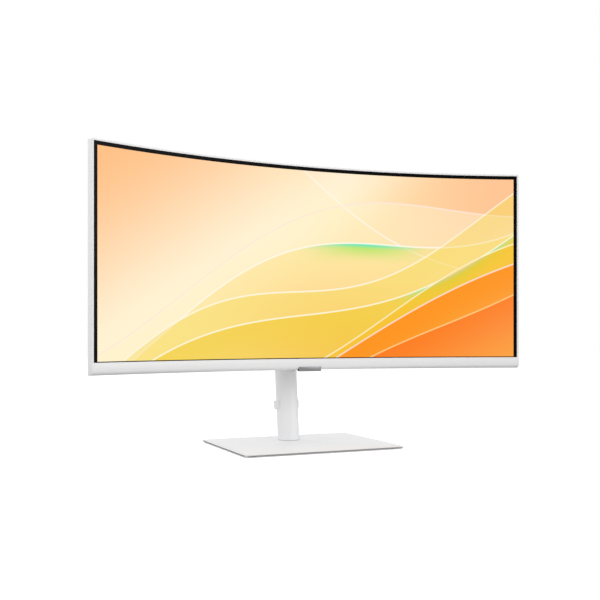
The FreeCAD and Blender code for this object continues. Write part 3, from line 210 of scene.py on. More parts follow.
def loft(name: str, rings: np.ndarray, closed: bool = False) -> bpy.types.Object:
    """Join closed rings of points into a solid skin, capped unless the rings come round again.

    Args:
        name: Name of the object.
        rings: Ring, point and coordinate, in that order.
        closed: Join the last ring to the first and make no caps.

    Returns:
        The solid skin, with its faces outwards.
    """
    count, size = rings.shape[:2]
    faces = grid_faces(count, size, wrap_rows=closed, wrap_columns=True)
    caps = None
    if not closed:
        last = (count - 1) * size
        caps = [list(range(size))[::-1], list(range(last, last + size))]
    made = mesh_object(name, rings, faces, caps)
    face_outwards(made)
    return made


def face_outwards(made: bpy.types.Object) -> None:
    """Merge doubles and turn every face outwards.

    Args:
        made: A closed mesh, changed in place.
    """
    work = bmesh.new()
    work.from_mesh(made.data)
    bmesh.ops.remove_doubles(work, verts=work.verts, dist=MERGE_NEW)
    bmesh.ops.recalc_face_normals(work, faces=work.faces)
    work.to_mesh(made.data)
    work.free()


def shade(made: bpy.types.Object, crease: float = CREASE) -> bpy.types.Object:
    """Shade smooth, with a sharp edge wherever two faces meet at more than the crease angle.

    Args:
        made: The object to shade.
        crease: Angle in degrees past which an edge stays sharp.

    Returns:
        The same object.
    """
    made.data.shade_smooth()
    made.data.set_sharp_from_angle(angle=math.radians(crease))
    return made


def soften(made: bpy.types.Object, width: float, segments: int = 2, crease: float = CREASE) -> None:
    """Round the sharp edges with a bevel of one width.

    Args:
        made: The object that gets the bevel.
        width: Width of the round, in metres.
        segments: Steps across it.
        crease: Angle in degrees past which an edge is rounded.
    """
    bevel = made.modifiers.new("Softened", "BEVEL")
    bevel.width = width
    bevel.segments = segments
    bevel.limit_method = "ANGLE"
    bevel.angle_limit = math.radians(crease)
    bevel.harden_normals = True


def refined(node: str, width: float = 0.0) -> bpy.types.Object:
    """A smooth copy of a CAD node that stands in for it.

    The loose triangles are merged. If a width is given, flat neighbours are joined into one face
    and edges sharper than the crease angle get a small round of that width.

    Args:
        node: The CAD node to copy.
        width: Width of the round on its edges, or none.

    Returns:
        The copy, in the scene.
    """
    made = bpy.data.objects.new(node + "_piece", frame["nodes"][node].data.copy())
    bpy.context.scene.collection.objects.link(made)
    made.data.materials.clear()
    work = bmesh.new()
    work.from_mesh(made.data)
    bmesh.ops.remove_doubles(work, verts=work.verts, dist=MERGE_CAD)
    if width:
        bmesh.ops.dissolve_limit(work, angle_limit=math.radians(FLAT_ANGLE), verts=work.verts,
                                 edges=work.edges)
    work.to_mesh(made.data)
    work.free()
    shade(made)
    if width:
        soften(made, width)
    flatter = made.modifiers.new("Flat faces", "WEIGHTED_NORMAL")
    flatter.keep_sharp = True
    return made


def settle(made: bpy.types.Object, body: str,
           finish: bpy.types.Material) -> bpy.types.Object:
    """Dress a finished piece and fix it to its body.

    Args:
        made: The finished piece.
        body: The body that it rides on.
        finish: The material that dresses it.

    Returns:
        The same piece.
    """
    made.data.materials.clear()
    made.data.materials.append(finish)
    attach(made, body)
    LOG.info("%s: %d faces on %s", made.name, len(made.data.polygons), body)
    return made


# ---------------------------------------------------------------------------------------------
# Node groups that several finishes share
# ---------------------------------------------------------------------------------------------
class Wiring:
    """A short hand for adding and joining nodes in one tree."""

    def __init__(self, tree: bpy.types.NodeTree) -> None:
        """Keep the tree and its links."""
        self.tree = tree

    def add(self, kind: str, **settings: object) -> bpy.types.Node:
        """Add a node and set its properties.

        Args:
            kind: The node's type.
            settings: Properties to set on it.

        Returns:
            The new node.
        """
        node = self.tree.nodes.new(kind)
        for name, value in settings.items():
            setattr(node, name, value)
        return node

    def join(self, source: bpy.types.NodeSocket, target: bpy.types.NodeSocket) -> None:
        """Join two sockets."""
        self.tree.links.new(source, target)

    def feed(self, node: bpy.types.Node, index: int, value: object) -> None:
        """Give an input a number, or a link when the value is a socket.

        Args:
            node: The node to feed.
            index: Which of its inputs.
            value: A number, a colour or a socket.
        """
        if isinstance(value, bpy.types.NodeSocket):
            self.join(value, node.inputs[index])
        else:
            node.inputs[index].default_value = value

    def math(self, operation: str, *values: object, clamp: bool = False) -> bpy.types.NodeSocket:
        """One Math node with its values fed.

        Args:
            operation: The node's operation.
            values: Its numbers or sockets, in order.
            clamp: Hold the result between 0 and 1.

        Returns:
            The result.
        """
        node = self.add("ShaderNodeMath", operation=operation, use_clamp=clamp)
        for index, value in enumerate(values):
            self.feed(node, index, value)
        return node.outputs[0]

    def smooth(self, value: object, low: float, high: float, to_low: float = 0.0,
               to_high: float = 1.0) -> bpy.types.NodeSocket:
        """A value eased from one range to another, held at both ends.

        Args:
            value: What is read.
            low: Where the change starts.
            high: Where it ends.
            to_low: The result up to the start.
            to_high: The result from the end on.

        Returns:
            The eased value.
        """
        node = self.add("ShaderNodeMapRange", interpolation_type="SMOOTHSTEP")
        for index, item in enumerate((value, low, high, to_low, to_high)):
            self.feed(node, index, item)
        return node.outputs[0]

    def blend(self, share: object, first: object, second: object, mode: str = "MIX"
              ) -> bpy.types.NodeSocket:
        """Mix two colours by a share.

        Args:
            share: Share of the second colour.
            first: Colour at a share of 0.
            second: Colour at a share of 1.
            mode: How the two are mixed.

        Returns:
            The mixed colour.
        """
        node = self.add("ShaderNodeMix", data_type="RGBA", blend_type=mode)
        self.feed(node, 0, share)
        self.feed(node, 6, first)
        self.feed(node, 7, second)
        return node.outputs[2]


def new_group(name: str, inputs: dict[str, float], outputs: dict[str, str]
              ) -> tuple[bpy.types.NodeTree, Wiring, bpy.types.Node, bpy.types.Node]:
    """Start a shader group with named number inputs and typed outputs.

    Args:
        name: Name of the group.
        inputs: Label and first value of each number input.
        outputs: Label and socket type of each output.

    Returns:
        The tree, its wiring, and its input and output nodes.
    """
    tree = bpy.data.node_groups.new(name, "ShaderNodeTree")
    for label, value in inputs.items():
        socket = tree.interface.new_socket(name=label, in_out="INPUT",
                                           socket_type="NodeSocketFloat")
        socket.default_value = value
    for label, kind in outputs.items():
        tree.interface.new_socket(name=label, in_out="OUTPUT", socket_type=kind)
    wire = Wiring(tree)
    return tree, wire, wire.add("NodeGroupInput"), wire.add("NodeGroupOutput")


def moulded_grain() -> bpy.types.NodeTree:
    """Fine moulded or sprayed texture: a spark-like grain, and broad, faint unevenness over it.

    Returns:
        The group, with a height and a tone.
    """
    tree, wire, ins, outs = new_group("moulded_grain", {"Grain size": 0.0006, "Cloud size": 0.05},
                                      {"Height": "NodeSocketFloat", "Tone": "NodeSocketFloat"})
    place = wire.add("ShaderNodeTexCoord").outputs["Object"]
    fine = wire.add("ShaderNodeTexNoise")
    fine.inputs["Detail"].default_value = 3.0
    wire.join(place, fine.inputs["Vector"])
    wire.join(wire.math("DIVIDE", 1.0, ins.outputs["Grain size"]), fine.inputs["Scale"])
    cloud = wire.add("ShaderNodeTexNoise")
    cloud.inputs["Detail"].default_value = 2.0
    wire.join(place, cloud.inputs["Vector"])
    wire.join(wire.math("DIVIDE", 1.0, ins.outputs["Cloud size"]), cloud.inputs["Scale"])
    wire.join(wire.smooth(fine.outputs["Fac"], 0.3, 0.7), outs.inputs["Height"])
    broad = wire.smooth(cloud.outputs["Fac"], 0.3, 0.7)
    speck = wire.math("MULTIPLY", wire.smooth(fine.outputs["Fac"], 0.3, 0.7), 0.35)
    wire.join(wire.math("ADD", wire.math("MULTIPLY", broad, 0.65), speck), outs.inputs["Tone"])
    return tree


def drawn_grain() -> bpy.types.NodeTree:
    """Fine parallel lines of rolled, drawn or turned metal, with faint blotches of zinc over them.

    Returns:
        The group, with a height and a tone.
    """
    tree, wire, ins, outs = new_group("drawn_grain", {"Line size": 0.0004, "Stretch": 30.0},
                                      {"Height": "NodeSocketFloat", "Tone": "NodeSocketFloat"})
    place = wire.add("ShaderNodeTexCoord").outputs["Object"]
    squeeze = wire.add("ShaderNodeCombineXYZ")
    wire.join(wire.math("DIVIDE", 1.0, ins.outputs["Stretch"]), squeeze.inputs[0])
    squeeze.inputs[1].default_value = 1.0
    squeeze.inputs[2].default_value = 1.0
    scaled = wire.add("ShaderNodeVectorMath", operation="MULTIPLY")
    wire.join(place, scaled.inputs[0])
    wire.join(squeeze.outputs[0], scaled.inputs[1])
    lines = wire.add("ShaderNodeTexNoise")
    lines.inputs["Detail"].default_value = 2.0
    wire.join(scaled.outputs[0], lines.inputs["Vector"])
    wire.join(wire.math("DIVIDE", 1.0, ins.outputs["Line size"]), lines.inputs["Scale"])
    blotch = wire.add("ShaderNodeTexVoronoi", feature="F1")
    blotch.inputs["Scale"].default_value = 160.0
    wire.join(place, blotch.inputs["Vector"])
    wire.join(lines.outputs["Fac"], outs.inputs["Height"])
    patch = wire.math("MULTIPLY", blotch.outputs["Distance"], 0.4)
    wire.join(wire.math("ADD", wire.math("MULTIPLY", lines.outputs["Fac"], 0.6), patch, clamp=True),
              outs.inputs["Tone"])
    return tree


def board_tracks() -> bpy.types.NodeTree:
    """Copper tracks under solder mask, as thin lines in two directions, and plated pads.

    Returns:
        The group, with a mask for the tracks and one for the pads.
    """
    tree, wire, ins, outs = new_group("board_tracks", {"Pitch": 0.0016},
                                      {"Tracks": "NodeSocketFloat", "Pads": "NodeSocketFloat"})
    place = wire.add("ShaderNodeTexCoord").outputs["Object"]
    parts = wire.add("ShaderNodeSeparateXYZ")
    wire.join(place, parts.inputs[0])
    cells = wire.add("ShaderNodeTexVoronoi", distance="CHEBYCHEV", feature="F1")
    cells.inputs["Scale"].default_value = 85.0
    wire.join(place, cells.inputs["Vector"])
    lanes = []
    for axis in (0, 2):
        phase = wire.math("FRACT", wire.math("DIVIDE", parts.outputs[axis], ins.outputs["Pitch"]))
        lanes.append(wire.smooth(wire.math("ABSOLUTE", wire.math("SUBTRACT", phase, 0.5)),
                                 0.16, 0.22, 1.0, 0.0))
    choose = wire.add("ShaderNodeSeparateColor")
    wire.join(cells.outputs["Color"], choose.inputs[0])
    side = wire.smooth(choose.outputs[0], 0.49, 0.51)
    shown = wire.smooth(choose.outputs[1], 0.44, 0.46)
    first = wire.math("MULTIPLY", lanes[0], wire.math("SUBTRACT", 1.0, side))
    second = wire.math("MULTIPLY", lanes[1], side)
    wire.join(wire.math("MULTIPLY", wire.math("ADD", first, second), shown), outs.inputs["Tracks"])
    wire.join(wire.smooth(cells.outputs["Distance"], 0.12, 0.14, 1.0, 0.0), outs.inputs["Pads"])
    return tree


@dataclass(frozen=True)
class Wave:
    """A translucent layer of the picture that lies under a waving edge, in screen heights."""

    base: float
    slope: float
    swing: float
    rate: float
    phase: float
    line: Colour
    under: Colour
    share: float
    glint: float = -1.0

    def paint(self, wire: "Wiring", picture: bpy.types.NodeSocket, across: bpy.types.NodeSocket,
              up: bpy.types.NodeSocket) -> bpy.types.NodeSocket:
        """Tint what is under the edge, and draw the edge as a bright fine line.

        The edge is at the base plus the slope times the place across, plus the swing times the
        sine of the rate times that place plus the phase. The tint is strongest just under the edge,
        and where there is a glint, the edge is green there.

        Args:
            wire: The group's wiring.
            picture: Colour so far.
            across: Place across, in screen heights.
            up: Place up, in screen heights.

        Returns:
            The colour with the layer on it.
        """
        angle = wire.math("ADD", wire.math("MULTIPLY", across, self.rate), self.phase)
        roll = wire.math("MULTIPLY", wire.math("SINE", angle), self.swing)
        climb = wire.math("ADD", wire.math("MULTIPLY", across, self.slope), self.base)
        below = wire.math("SUBTRACT", wire.math("ADD", climb, roll), up)
        within = wire.smooth(below, -0.002, 0.004)
        fading = wire.smooth(below, 0.04, 0.50, self.share, 0.35 * self.share)
        tint = wire.math("MULTIPLY", within, fading)
        picture = wire.blend(tint, picture, self.under)
        if self.glint >= 0:
            away = wire.math("ABSOLUTE", wire.math("SUBTRACT", across, self.glint))
            near = wire.math("MULTIPLY", wire.smooth(away, 0.0, 0.42, 0.85, 0.0), within)
            for reach, colour in ((0.11, (0.34, 0.80, 0.10, 1)), (0.030, (0.06, 0.82, 0.60, 1))):
                glow = wire.math("MULTIPLY", near, wire.smooth(below, 0.0, reach, 1.0, 0.0))
                picture = wire.blend(glow, picture, colour)
        line = wire.smooth(wire.math("ABSOLUTE", below), 0.0014, 0.0062, 0.85, 0.0)
        return wire.blend(line, picture, self.line)


WAVES = (
    Wave(0.20, 0.30, 0.20, 2.1, -1.1, (1.0, 0.80, 0.72, 1), (1.0, 0.90, 0.62, 1), 0.40),
    Wave(1.62, -0.52, 0.12, 2.6, 0.4, (1.0, 0.94, 0.86, 1), (1.0, 0.84, 0.46, 1), 0.22),
    Wave(0.00, 0.36, 0.17, 2.4, -0.9, (1.0, 0.97, 0.88, 1), (0.98, 0.76, 0.22, 1), 0.50, 1.52),
    Wave(-0.10, 0.40, 0.12, 2.9, -0.1, (1.0, 0.96, 0.80, 1), (0.92, 0.70, 0.08, 1), 0.50),
    Wave(-0.26, 0.42, 0.14, 2.2, 0.6, (1.0, 0.97, 0.78, 1), (0.88, 0.60, 0.01, 1), 0.62, 2.06),
    Wave(-0.42, 0.40, 0.10, 2.7, 1.7, (1.0, 0.92, 0.62, 1), (0.95, 0.52, 0.01, 1), 0.62),
    Wave(-0.52, 0.40, 0.09, 2.0, 3.4, (1.0, 0.80, 0.74, 1), (1.0, 0.24, 0.008, 1), 0.80),
    Wave(-0.92, 0.56, 0.07, 2.5, 4.6, (1.0, 0.66, 0.26, 1), (0.98, 0.10, 0.012, 1), 0.50),
)


def light_sheet_picture() -> bpy.types.NodeTree:
    """The generic picture on the screen: a warm gradient under translucent waves.

    Returns:
        The group, with the picture's colour.
    """
    tree, wire, ins, outs = new_group("light_sheet_picture", {"Brightness": 1.0},
                                      {"Picture": "NodeSocketColor"})
    parts = wire.add("ShaderNodeSeparateXYZ")
    wire.join(wire.add("ShaderNodeUVMap", uv_map="Surface").outputs["UV"], parts.inputs[0])
    across, up = wire.math("MULTIPLY", parts.outputs[0], PICTURE_SHAPE), parts.outputs[1]
    slope = wire.math("ADD", wire.math("MULTIPLY", across, 0.62), wire.math("SUBTRACT", 1.0, up))
    picture = wire.blend(wire.smooth(slope, 0.0, 1.25), (1.0, 0.50, 0.215, 1), (1.0, 0.97, 0.76, 1))
    picture = wire.blend(wire.smooth(slope, 0.85, 1.35), picture, (1.0, 0.78, 0.42, 1))
    right = wire.math("MULTIPLY", wire.smooth(across, 1.3, 2.35), wire.smooth(up, 0.25, 0.85))
    picture = wire.blend(right, picture, (1.0, 0.56, 0.30, 1))
    low = wire.math("MULTIPLY", wire.smooth(across, 0.45, 1.5),
                    wire.smooth(up, 0.0, 0.60, 0.9, 0.0))
    picture = wire.blend(low, picture, (1.0, 0.30, 0.02, 1))
    for item in WAVES:
        picture = item.paint(wire, picture, across, up)
    scaled = wire.add("ShaderNodeVectorMath", operation="SCALE")
    wire.join(picture, scaled.inputs[0])
    wire.join(ins.outputs["Brightness"], scaled.inputs["Scale"])
    wire.join(scaled.outputs[0], outs.inputs["Picture"])
    return tree


class Groups(Enum):
    """The shared groups, by name."""

    GRAIN = "moulded_grain"
    DRAWN = "drawn_grain"
    TRACKS = "board_tracks"
    PICTURE = "light_sheet_picture"

    def tree(self) -> bpy.types.NodeTree:
        """The group's tree, built the first time that it is asked for.

        Returns:
            The tree of this group.
        """
        builders = {"moulded_grain": moulded_grain, "drawn_grain": drawn_grain,
                    "board_tracks": board_tracks, "light_sheet_picture": light_sheet_picture}
        found = bpy.data.node_groups.get(self.value)
        return found or builders[self.value]()


# ---------------------------------------------------------------------------------------------
# Finishes
# ---------------------------------------------------------------------------------------------
def new_finish(name: str) -> tuple[bpy.types.Material, Wiring, bpy.types.Node]:
    """Start a material.

    Args:
        name: Name of the material.

    Returns:
        The material, its wiring and its shader.
    """
    made = bpy.data.materials.new(name)
    made.use_nodes = True
    return made, Wiring(made.node_tree), made.node_tree.nodes["Principled BSDF"]


def relieve(wire: Wiring, shader: bpy.types.Node, height: bpy.types.NodeSocket,
            strength: float, depth: float) -> None:
    """Give a material its fine relief.

    Args:
        wire: The material's wiring.
        shader: Its shader.
        height: The relief, from 0 to 1.
        strength: How much of it shows.
        depth: How deep it is, in metres.
    """
    bump = wire.add("ShaderNodeBump")
    bump.inputs["Strength"].default_value = strength
    bump.inputs["Distance"].default_value = depth
    wire.join(height, bump.inputs["Height"])
    wire.join(bump.outputs[0], shader.inputs["Normal"])


class Surface(Enum):
    """What a finish's texture is made by."""

    MOULDED = "moulded"
    DRAWN = "drawn"


@dataclass(frozen=True)
class Finish:
    """One solid finish: two near tints, a range of roughness and a fine relief."""

    name: str
    tint: tuple[float, float, float]
    other: tuple[float, float, float]
    rough: tuple[float, float]
    surface: Surface = Surface.MOULDED
    size: float = 0.0006
    relief: float = 0.00002
    strength: float = 0.2
    metallic: float = 0.0
    coat: float = 0.0
    transmission: float = 0.0

    def material(self) -> bpy.types.Material:
        """The material, made once."""
        found = bpy.data.materials.get(self.name)
        return found or self.build()

    def build(self) -> bpy.types.Material:
        """Wire the grain group to colour, roughness and a bump.

        Returns:
            The new material.
        """
        made, wire, shader = new_finish(self.name)
        grain = wire.add("ShaderNodeGroup")
        if self.surface is Surface.MOULDED:
            grain.node_tree = Groups.GRAIN.tree()
            grain.inputs["Grain size"].default_value = self.size
        else:
            grain.node_tree = Groups.DRAWN.tree()
            grain.inputs["Line size"].default_value = self.size
        tone = grain.outputs["Tone"]
        wire.join(wire.blend(tone, (*self.tint, 1), (*self.other, 1)), shader.inputs["Base Color"])
        wire.join(wire.smooth(tone, 0.0, 1.0, *self.rough), shader.inputs["Roughness"])
        relieve(wire, shader, grain.outputs["Height"], self.strength, self.relief)
        shader.inputs["Metallic"].default_value = self.metallic
        shader.inputs["Coat Weight"].default_value = self.coat
        shader.inputs["Coat Roughness"].default_value = 0.08
        shader.inputs["Transmission Weight"].default_value = self.transmission
        return made


@dataclass(frozen=True)
class BoardFinish:
    """Green solder mask over copper tracks, with plated pads."""

    name: str = "solder_mask_green"

    def material(self) -> bpy.types.Material:
        """The material, made once."""
        found = bpy.data.materials.get(self.name)
        return found or self.build()

    def build(self) -> bpy.types.Material:
        """Wire the tracks and pads to colour, metallic and roughness.

        Returns:
            The new material.
        """
        made, wire, shader = new_finish(self.name)
        tracks = wire.add("ShaderNodeGroup", node_tree=Groups.TRACKS.tree())
        pads = tracks.outputs["Pads"]
        mask = wire.blend(tracks.outputs["Tracks"], (0.010, 0.085, 0.035, 1),
                          (0.025, 0.16, 0.06, 1))
        wire.join(wire.blend(pads, mask, (0.72, 0.68, 0.55, 1)), shader.inputs["Base Color"])
        wire.join(wire.smooth(pads, 0.0, 1.0, 0.0, 0.9), shader.inputs["Metallic"])
        wire.join(wire.smooth(pads, 0.0, 1.0, 0.34, 0.26), shader.inputs["Roughness"])
        relieve(wire, shader, tracks.outputs["Tracks"], 0.3, 0.00003)
        return made


@dataclass(frozen=True)
class ScreenFinish:
    """Coated glass, lit inside the active area and black round it.

    The lit area is held as shares of the glass: left, right, low and high edge.
    """

    left: float
    right: float
    low: float
    high: float
    brightness: float = 1.0
    gloss: float = 0.05
    border_dark: float = 0.0012
    border_light: float = 0.002
    name: str = "screen_picture"

    def build(self) -> bpy.types.Material:
        """Mask the picture to the lit area, and give the glass a faint anti-glare grain.

        Returns:
            The new material.
        """
        made, wire, shader = new_finish(self.name)
        parts = wire.add("ShaderNodeSeparateXYZ")
        wire.join(wire.add("ShaderNodeUVMap", uv_map="Surface").outputs["UV"], parts.inputs[0])
        mask = None
        for socket, start, end in ((parts.outputs[0], self.left, self.right),
                                   (parts.outputs[1], self.low, self.high)):
            inside = wire.math("MULTIPLY", wire.math("GREATER_THAN", socket, start),
                               wire.math("LESS_THAN", socket, end))
            mask = inside if mask is None else wire.math("MULTIPLY", mask, inside)
        picture = wire.add("ShaderNodeGroup", node_tree=Groups.PICTURE.tree())
        picture.inputs["Brightness"].default_value = self.brightness
        wire.join(wire.blend(mask, (0, 0, 0, 1), picture.outputs["Picture"]),
                  shader.inputs["Emission Color"])
        shader.inputs["Emission Strength"].default_value = 1.0
        grain = wire.add("ShaderNodeGroup", node_tree=Groups.GRAIN.tree())
        grain.inputs["Grain size"].default_value = 0.0003
        tone = grain.outputs["Tone"]
        black, lighter = (*(self.border_dark,) * 3, 1), (*(self.border_light,) * 3, 1)
        wire.join(wire.blend(tone, black, lighter), shader.inputs["Base Color"])
        wire.join(wire.smooth(tone, 0.0, 1.0, 0.30, 0.36), shader.inputs["Roughness"])
        shader.inputs["Specular IOR Level"].default_value = self.gloss
        relieve(wire, shader, grain.outputs["Height"], 0.1, 0.00001)
        return made


WHITE = (0.85, 0.85, 0.86)
WHITE_LOW = (0.84, 0.84, 0.85)
FINISHES: dict[str, Finish | BoardFinish] = {
    "white_shell": Finish("matt_white_shell", WHITE, WHITE_LOW, (0.46, 0.54), size=0.0007,
                          relief=0.00002, strength=0.10),
    "rim_plastic": Finish("satin_white_rim", (0.87, 0.87, 0.88), (0.86, 0.86, 0.87), (0.34, 0.40),
                          size=0.0005, relief=0.00001, strength=0.05),
    "film": Finish("diffuser_film", (0.92, 0.92, 0.92), (0.88, 0.88, 0.88), (0.5, 0.6), coat=0.2),
    "guide_acrylic": Finish("clear_acrylic", (0.9, 0.93, 0.95), (0.86, 0.91, 0.93), (0.08, 0.14),
                            transmission=0.7),
    "bare_steel": Finish("zinc_sheet_steel", (0.58, 0.59, 0.60), (0.46, 0.47, 0.49), (0.34, 0.5),
                         surface=Surface.DRAWN, metallic=1.0),
    "white_metal": Finish("white_powder_coat", (0.83, 0.83, 0.835), (0.825, 0.825, 0.83),
                          (0.24, 0.25), size=0.0009, relief=0.00001, strength=0.02, coat=0.2),
    "white_alloy": Finish("white_coated_casting", (0.86, 0.86, 0.87), (0.83, 0.83, 0.84),
                          (0.36, 0.46), size=0.0010, relief=0.00004, strength=0.3),
    "bare_alloy": Finish("machined_aluminium", (0.74, 0.74, 0.76), (0.62, 0.62, 0.65), (0.24, 0.38),
                         surface=Surface.DRAWN, size=0.0003, metallic=1.0),
    "circuit_board": BoardFinish(),
    "chip_black": Finish("moulded_epoxy", (0.045, 0.045, 0.048), (0.07, 0.07, 0.072), (0.5, 0.62),
                         size=0.0004),
    "black_plastic": Finish("matt_black_plastic", (0.025, 0.025, 0.027), (0.04, 0.04, 0.042),
                            (0.42, 0.55)),
    "grey_plastic": Finish("natural_acetal", (0.55, 0.55, 0.56), (0.48, 0.48, 0.49), (0.3, 0.42)),
    "plated_socket": Finish("nickel_plate", (0.74, 0.73, 0.70), (0.62, 0.61, 0.59), (0.2, 0.34),
                            surface=Surface.DRAWN, size=0.0003, metallic=1.0),
    "badge_metal": Finish("satin_grey_badge", (0.40, 0.40, 0.41), (0.31, 0.31, 0.32), (0.3, 0.42),
                          surface=Surface.DRAWN, size=0.0002, metallic=0.6),
    "smoked_window": Finish("smoked_window", (0.003, 0.003, 0.003), (0.006, 0.006, 0.006),
                            (0.12, 0.2)),
    "brass_insert": Finish("turned_brass", (0.76, 0.58, 0.28), (0.62, 0.46, 0.2), (0.24, 0.38),
                           surface=Surface.DRAWN, size=0.0003, metallic=1.0),
    "screw_steel": Finish("plated_screw", (0.60, 0.60, 0.61), (0.46, 0.46, 0.47), (0.26, 0.4),
                          surface=Surface.DRAWN, size=0.0003, metallic=1.0),
    "pad_rubber": Finish("soft_grey_rubber", (0.16, 0.16, 0.16), (0.22, 0.22, 0.22), (0.7, 0.85),
                         size=0.0005, strength=0.4),
    "led_strip": Finish("phosphor_strip", (0.95, 0.86, 0.5), (0.92, 0.90, 0.82), (0.4, 0.55),
                        size=0.004),
}


def finish_of(node: str) -> tuple[str, bpy.types.Material]:
    """The record's slot for a CAD node, and the material that dresses it.

    Args:
        node: Name of the CAD node.

    Returns:
        The slot and the material.
    """
    parts = frame["record"]["subparts"]
    slot = next(part["material_slot"] for part in parts if part["node"] == node)
    if slot in FINISHES:
        return slot, FINISHES[slot].material()
    return slot, bpy.data.materials["screen_picture"]


def body_of(node: str) -> str:
    """The body that a CAD node belongs to."""
    bodies = frame["record"]["behaviour"]["bodies"]
    return next(body for body, nodes in bodies.items() if node in nodes)


def stand_in(made: bpy.types.Object, node: str) -> bpy.types.Object:
    """Put a new piece in a CAD node's place, with that node's body and the finish of its slot.

    Args:
        made: The new piece.
        node: The node that it replaces.

    Returns:
        The same piece.
    """
    slot, finish = finish_of(node)
    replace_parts(made, node)
    return settle(made, body_of(node), finish)


# ---------------------------------------------------------------------------------------------
# Shapes that several sub-assemblies use
# ---------------------------------------------------------------------------------------------
def rounded_outline(corners: np.ndarray, radius: float, steps: int = 6) -> np.ndarray:
    """A closed outline with its corners rounded.

    At each corner the arc's centre lies on the line that halves the angle, at radius over the sine
    of the half angle, and the arc runs between the two points where it touches the sides.

    Args:
        corners: Corner places, anticlockwise, one row each.
        radius: Radius of every corner.
        steps: Points on each arc, less one.

    Returns:
        The outline's points, one row each.
    """
    before = np.roll(corners, 1, axis=0) - corners
    after = np.roll(corners, -1, axis=0) - corners
    before /= np.linalg.norm(before, axis=1, keepdims=True)
    after /= np.linalg.norm(after, axis=1, keepdims=True)
    halving = before + after
    halving /= np.linalg.norm(halving, axis=1, keepdims=True)
    half = np.arccos(np.clip((before * halving).sum(axis=1), -1, 1))
    centre = corners + halving * (radius / np.sin(half))[:, None]
    first = corners + before * (radius / np.tan(half))[:, None] - centre
    start = np.arctan2(first[:, 1], first[:, 0])
    angle = start[:, None] + np.linspace(0, 1, steps + 1) * (math.pi - 2 * half)[:, None]
    arc = np.stack([np.cos(angle), np.sin(angle)], axis=-1) * radius
    return (centre[:, None, :] + arc).reshape(-1, 2)


def inset_outline(outline: np.ndarray, inset: float) -> np.ndarray:
    """The outline moved inwards, each point along the line square to its two neighbours.

    Args:
        outline: Points of a closed outline, anticlockwise.
        inset: How far each point moves.

    Returns:
        The moved points.
    """
    run = np.roll(outline, -1, axis=0) - np.roll(outline, 1, axis=0)
    run /= np.maximum(np.linalg.norm(run, axis=1, keepdims=True), 1e-12)
    return outline + np.stack([-run[:, 1], run[:, 0]], axis=1) * inset


@dataclass(frozen=True)
class Turning:
    """A profile of radius and height carried round an axis."""

    profile: np.ndarray
    steps: int = 64

    def rings(self, origin: np.ndarray, axis: np.ndarray) -> np.ndarray:
        """Points of the turned shape: the profile at every angle round the axis.

        A point of radius r and height h at angle a is the origin plus h along the axis plus r times
        the cosine and sine of a along two directions square to it.

        Args:
            origin: Where the profile has height 0.
            axis: Direction of the axis.

        Returns:
            Angle, profile point and coordinate, in that order.
        """
        axis = axis / np.linalg.norm(axis)
        helper = np.array([1.0, 0, 0]) if abs(axis[0]) < 0.9 else np.array([0, 1.0, 0])
        first = np.cross(axis, helper)
        first /= np.linalg.norm(first)
        second = np.cross(axis, first)
        angle = np.linspace(0, 2 * math.pi, self.steps, endpoint=False)
        spoke = np.cos(angle)[:, None] * first + np.sin(angle)[:, None] * second
        return (origin + self.profile[None, :, 0, None] * spoke[:, None, :]
                + self.profile[None, :, 1, None] * axis)

    def solid(self, name: str, places: list[tuple[np.ndarray, np.ndarray]]) -> bpy.types.Object:
        """One object of like turned pieces. The profile starts and ends on the axis, or closes.

        Args:
            name: Name of the object.
            places: Origin and axis of each piece.

        Returns:
            One object that holds them all.
        """
        count = len(self.profile)
        closed = bool(self.profile[0, 0] > 1e-9)
        quads = grid_faces(self.steps, count, wrap_rows=True, wrap_columns=closed)
        points = [self.rings(np.asarray(origin, float), np.asarray(axis, float)).reshape(-1, 3)
                  for origin, axis in places]
        faces = [quads + number * self.steps * count for number in range(len(places))]
        made = mesh_object(name, np.concatenate(points), np.concatenate(faces))
        face_outwards(made)
        return shade(made)


def knob_profile(radius: float, height: float, round_low: float, round_high: float,
                 dish: float = 0.0) -> np.ndarray:
    """Profile of a plain round piece from its foot to its top, with both rims rounded.

    Each rim is a quarter circle. The foot may be dished by a shallow cosine hollow.

    Args:
        radius: Widest radius.
        height: Height from foot to top.
        round_low: Radius of the round at the foot.
        round_high: Radius of the round at the top.
        dish: Depth of the hollow in the foot.

    Returns:
        Radius and height of each point.
    """
    turn = np.linspace(0, math.pi / 2, 7)
    inner = np.linspace(0, radius - round_low, 6)
    foot = np.stack([inner, dish * np.cos(inner / (radius - round_low) * math.pi / 2)], axis=1)
    low = np.stack([radius - round_low + round_low * np.sin(turn),
                    round_low * (1 - np.cos(turn))], axis=1)
    high = np.stack([radius - round_high + round_high * np.cos(turn),
                     height - round_high + round_high * np.sin(turn)], axis=1)
    return np.concatenate([foot, low[1:], high, [[0.0, height]]])


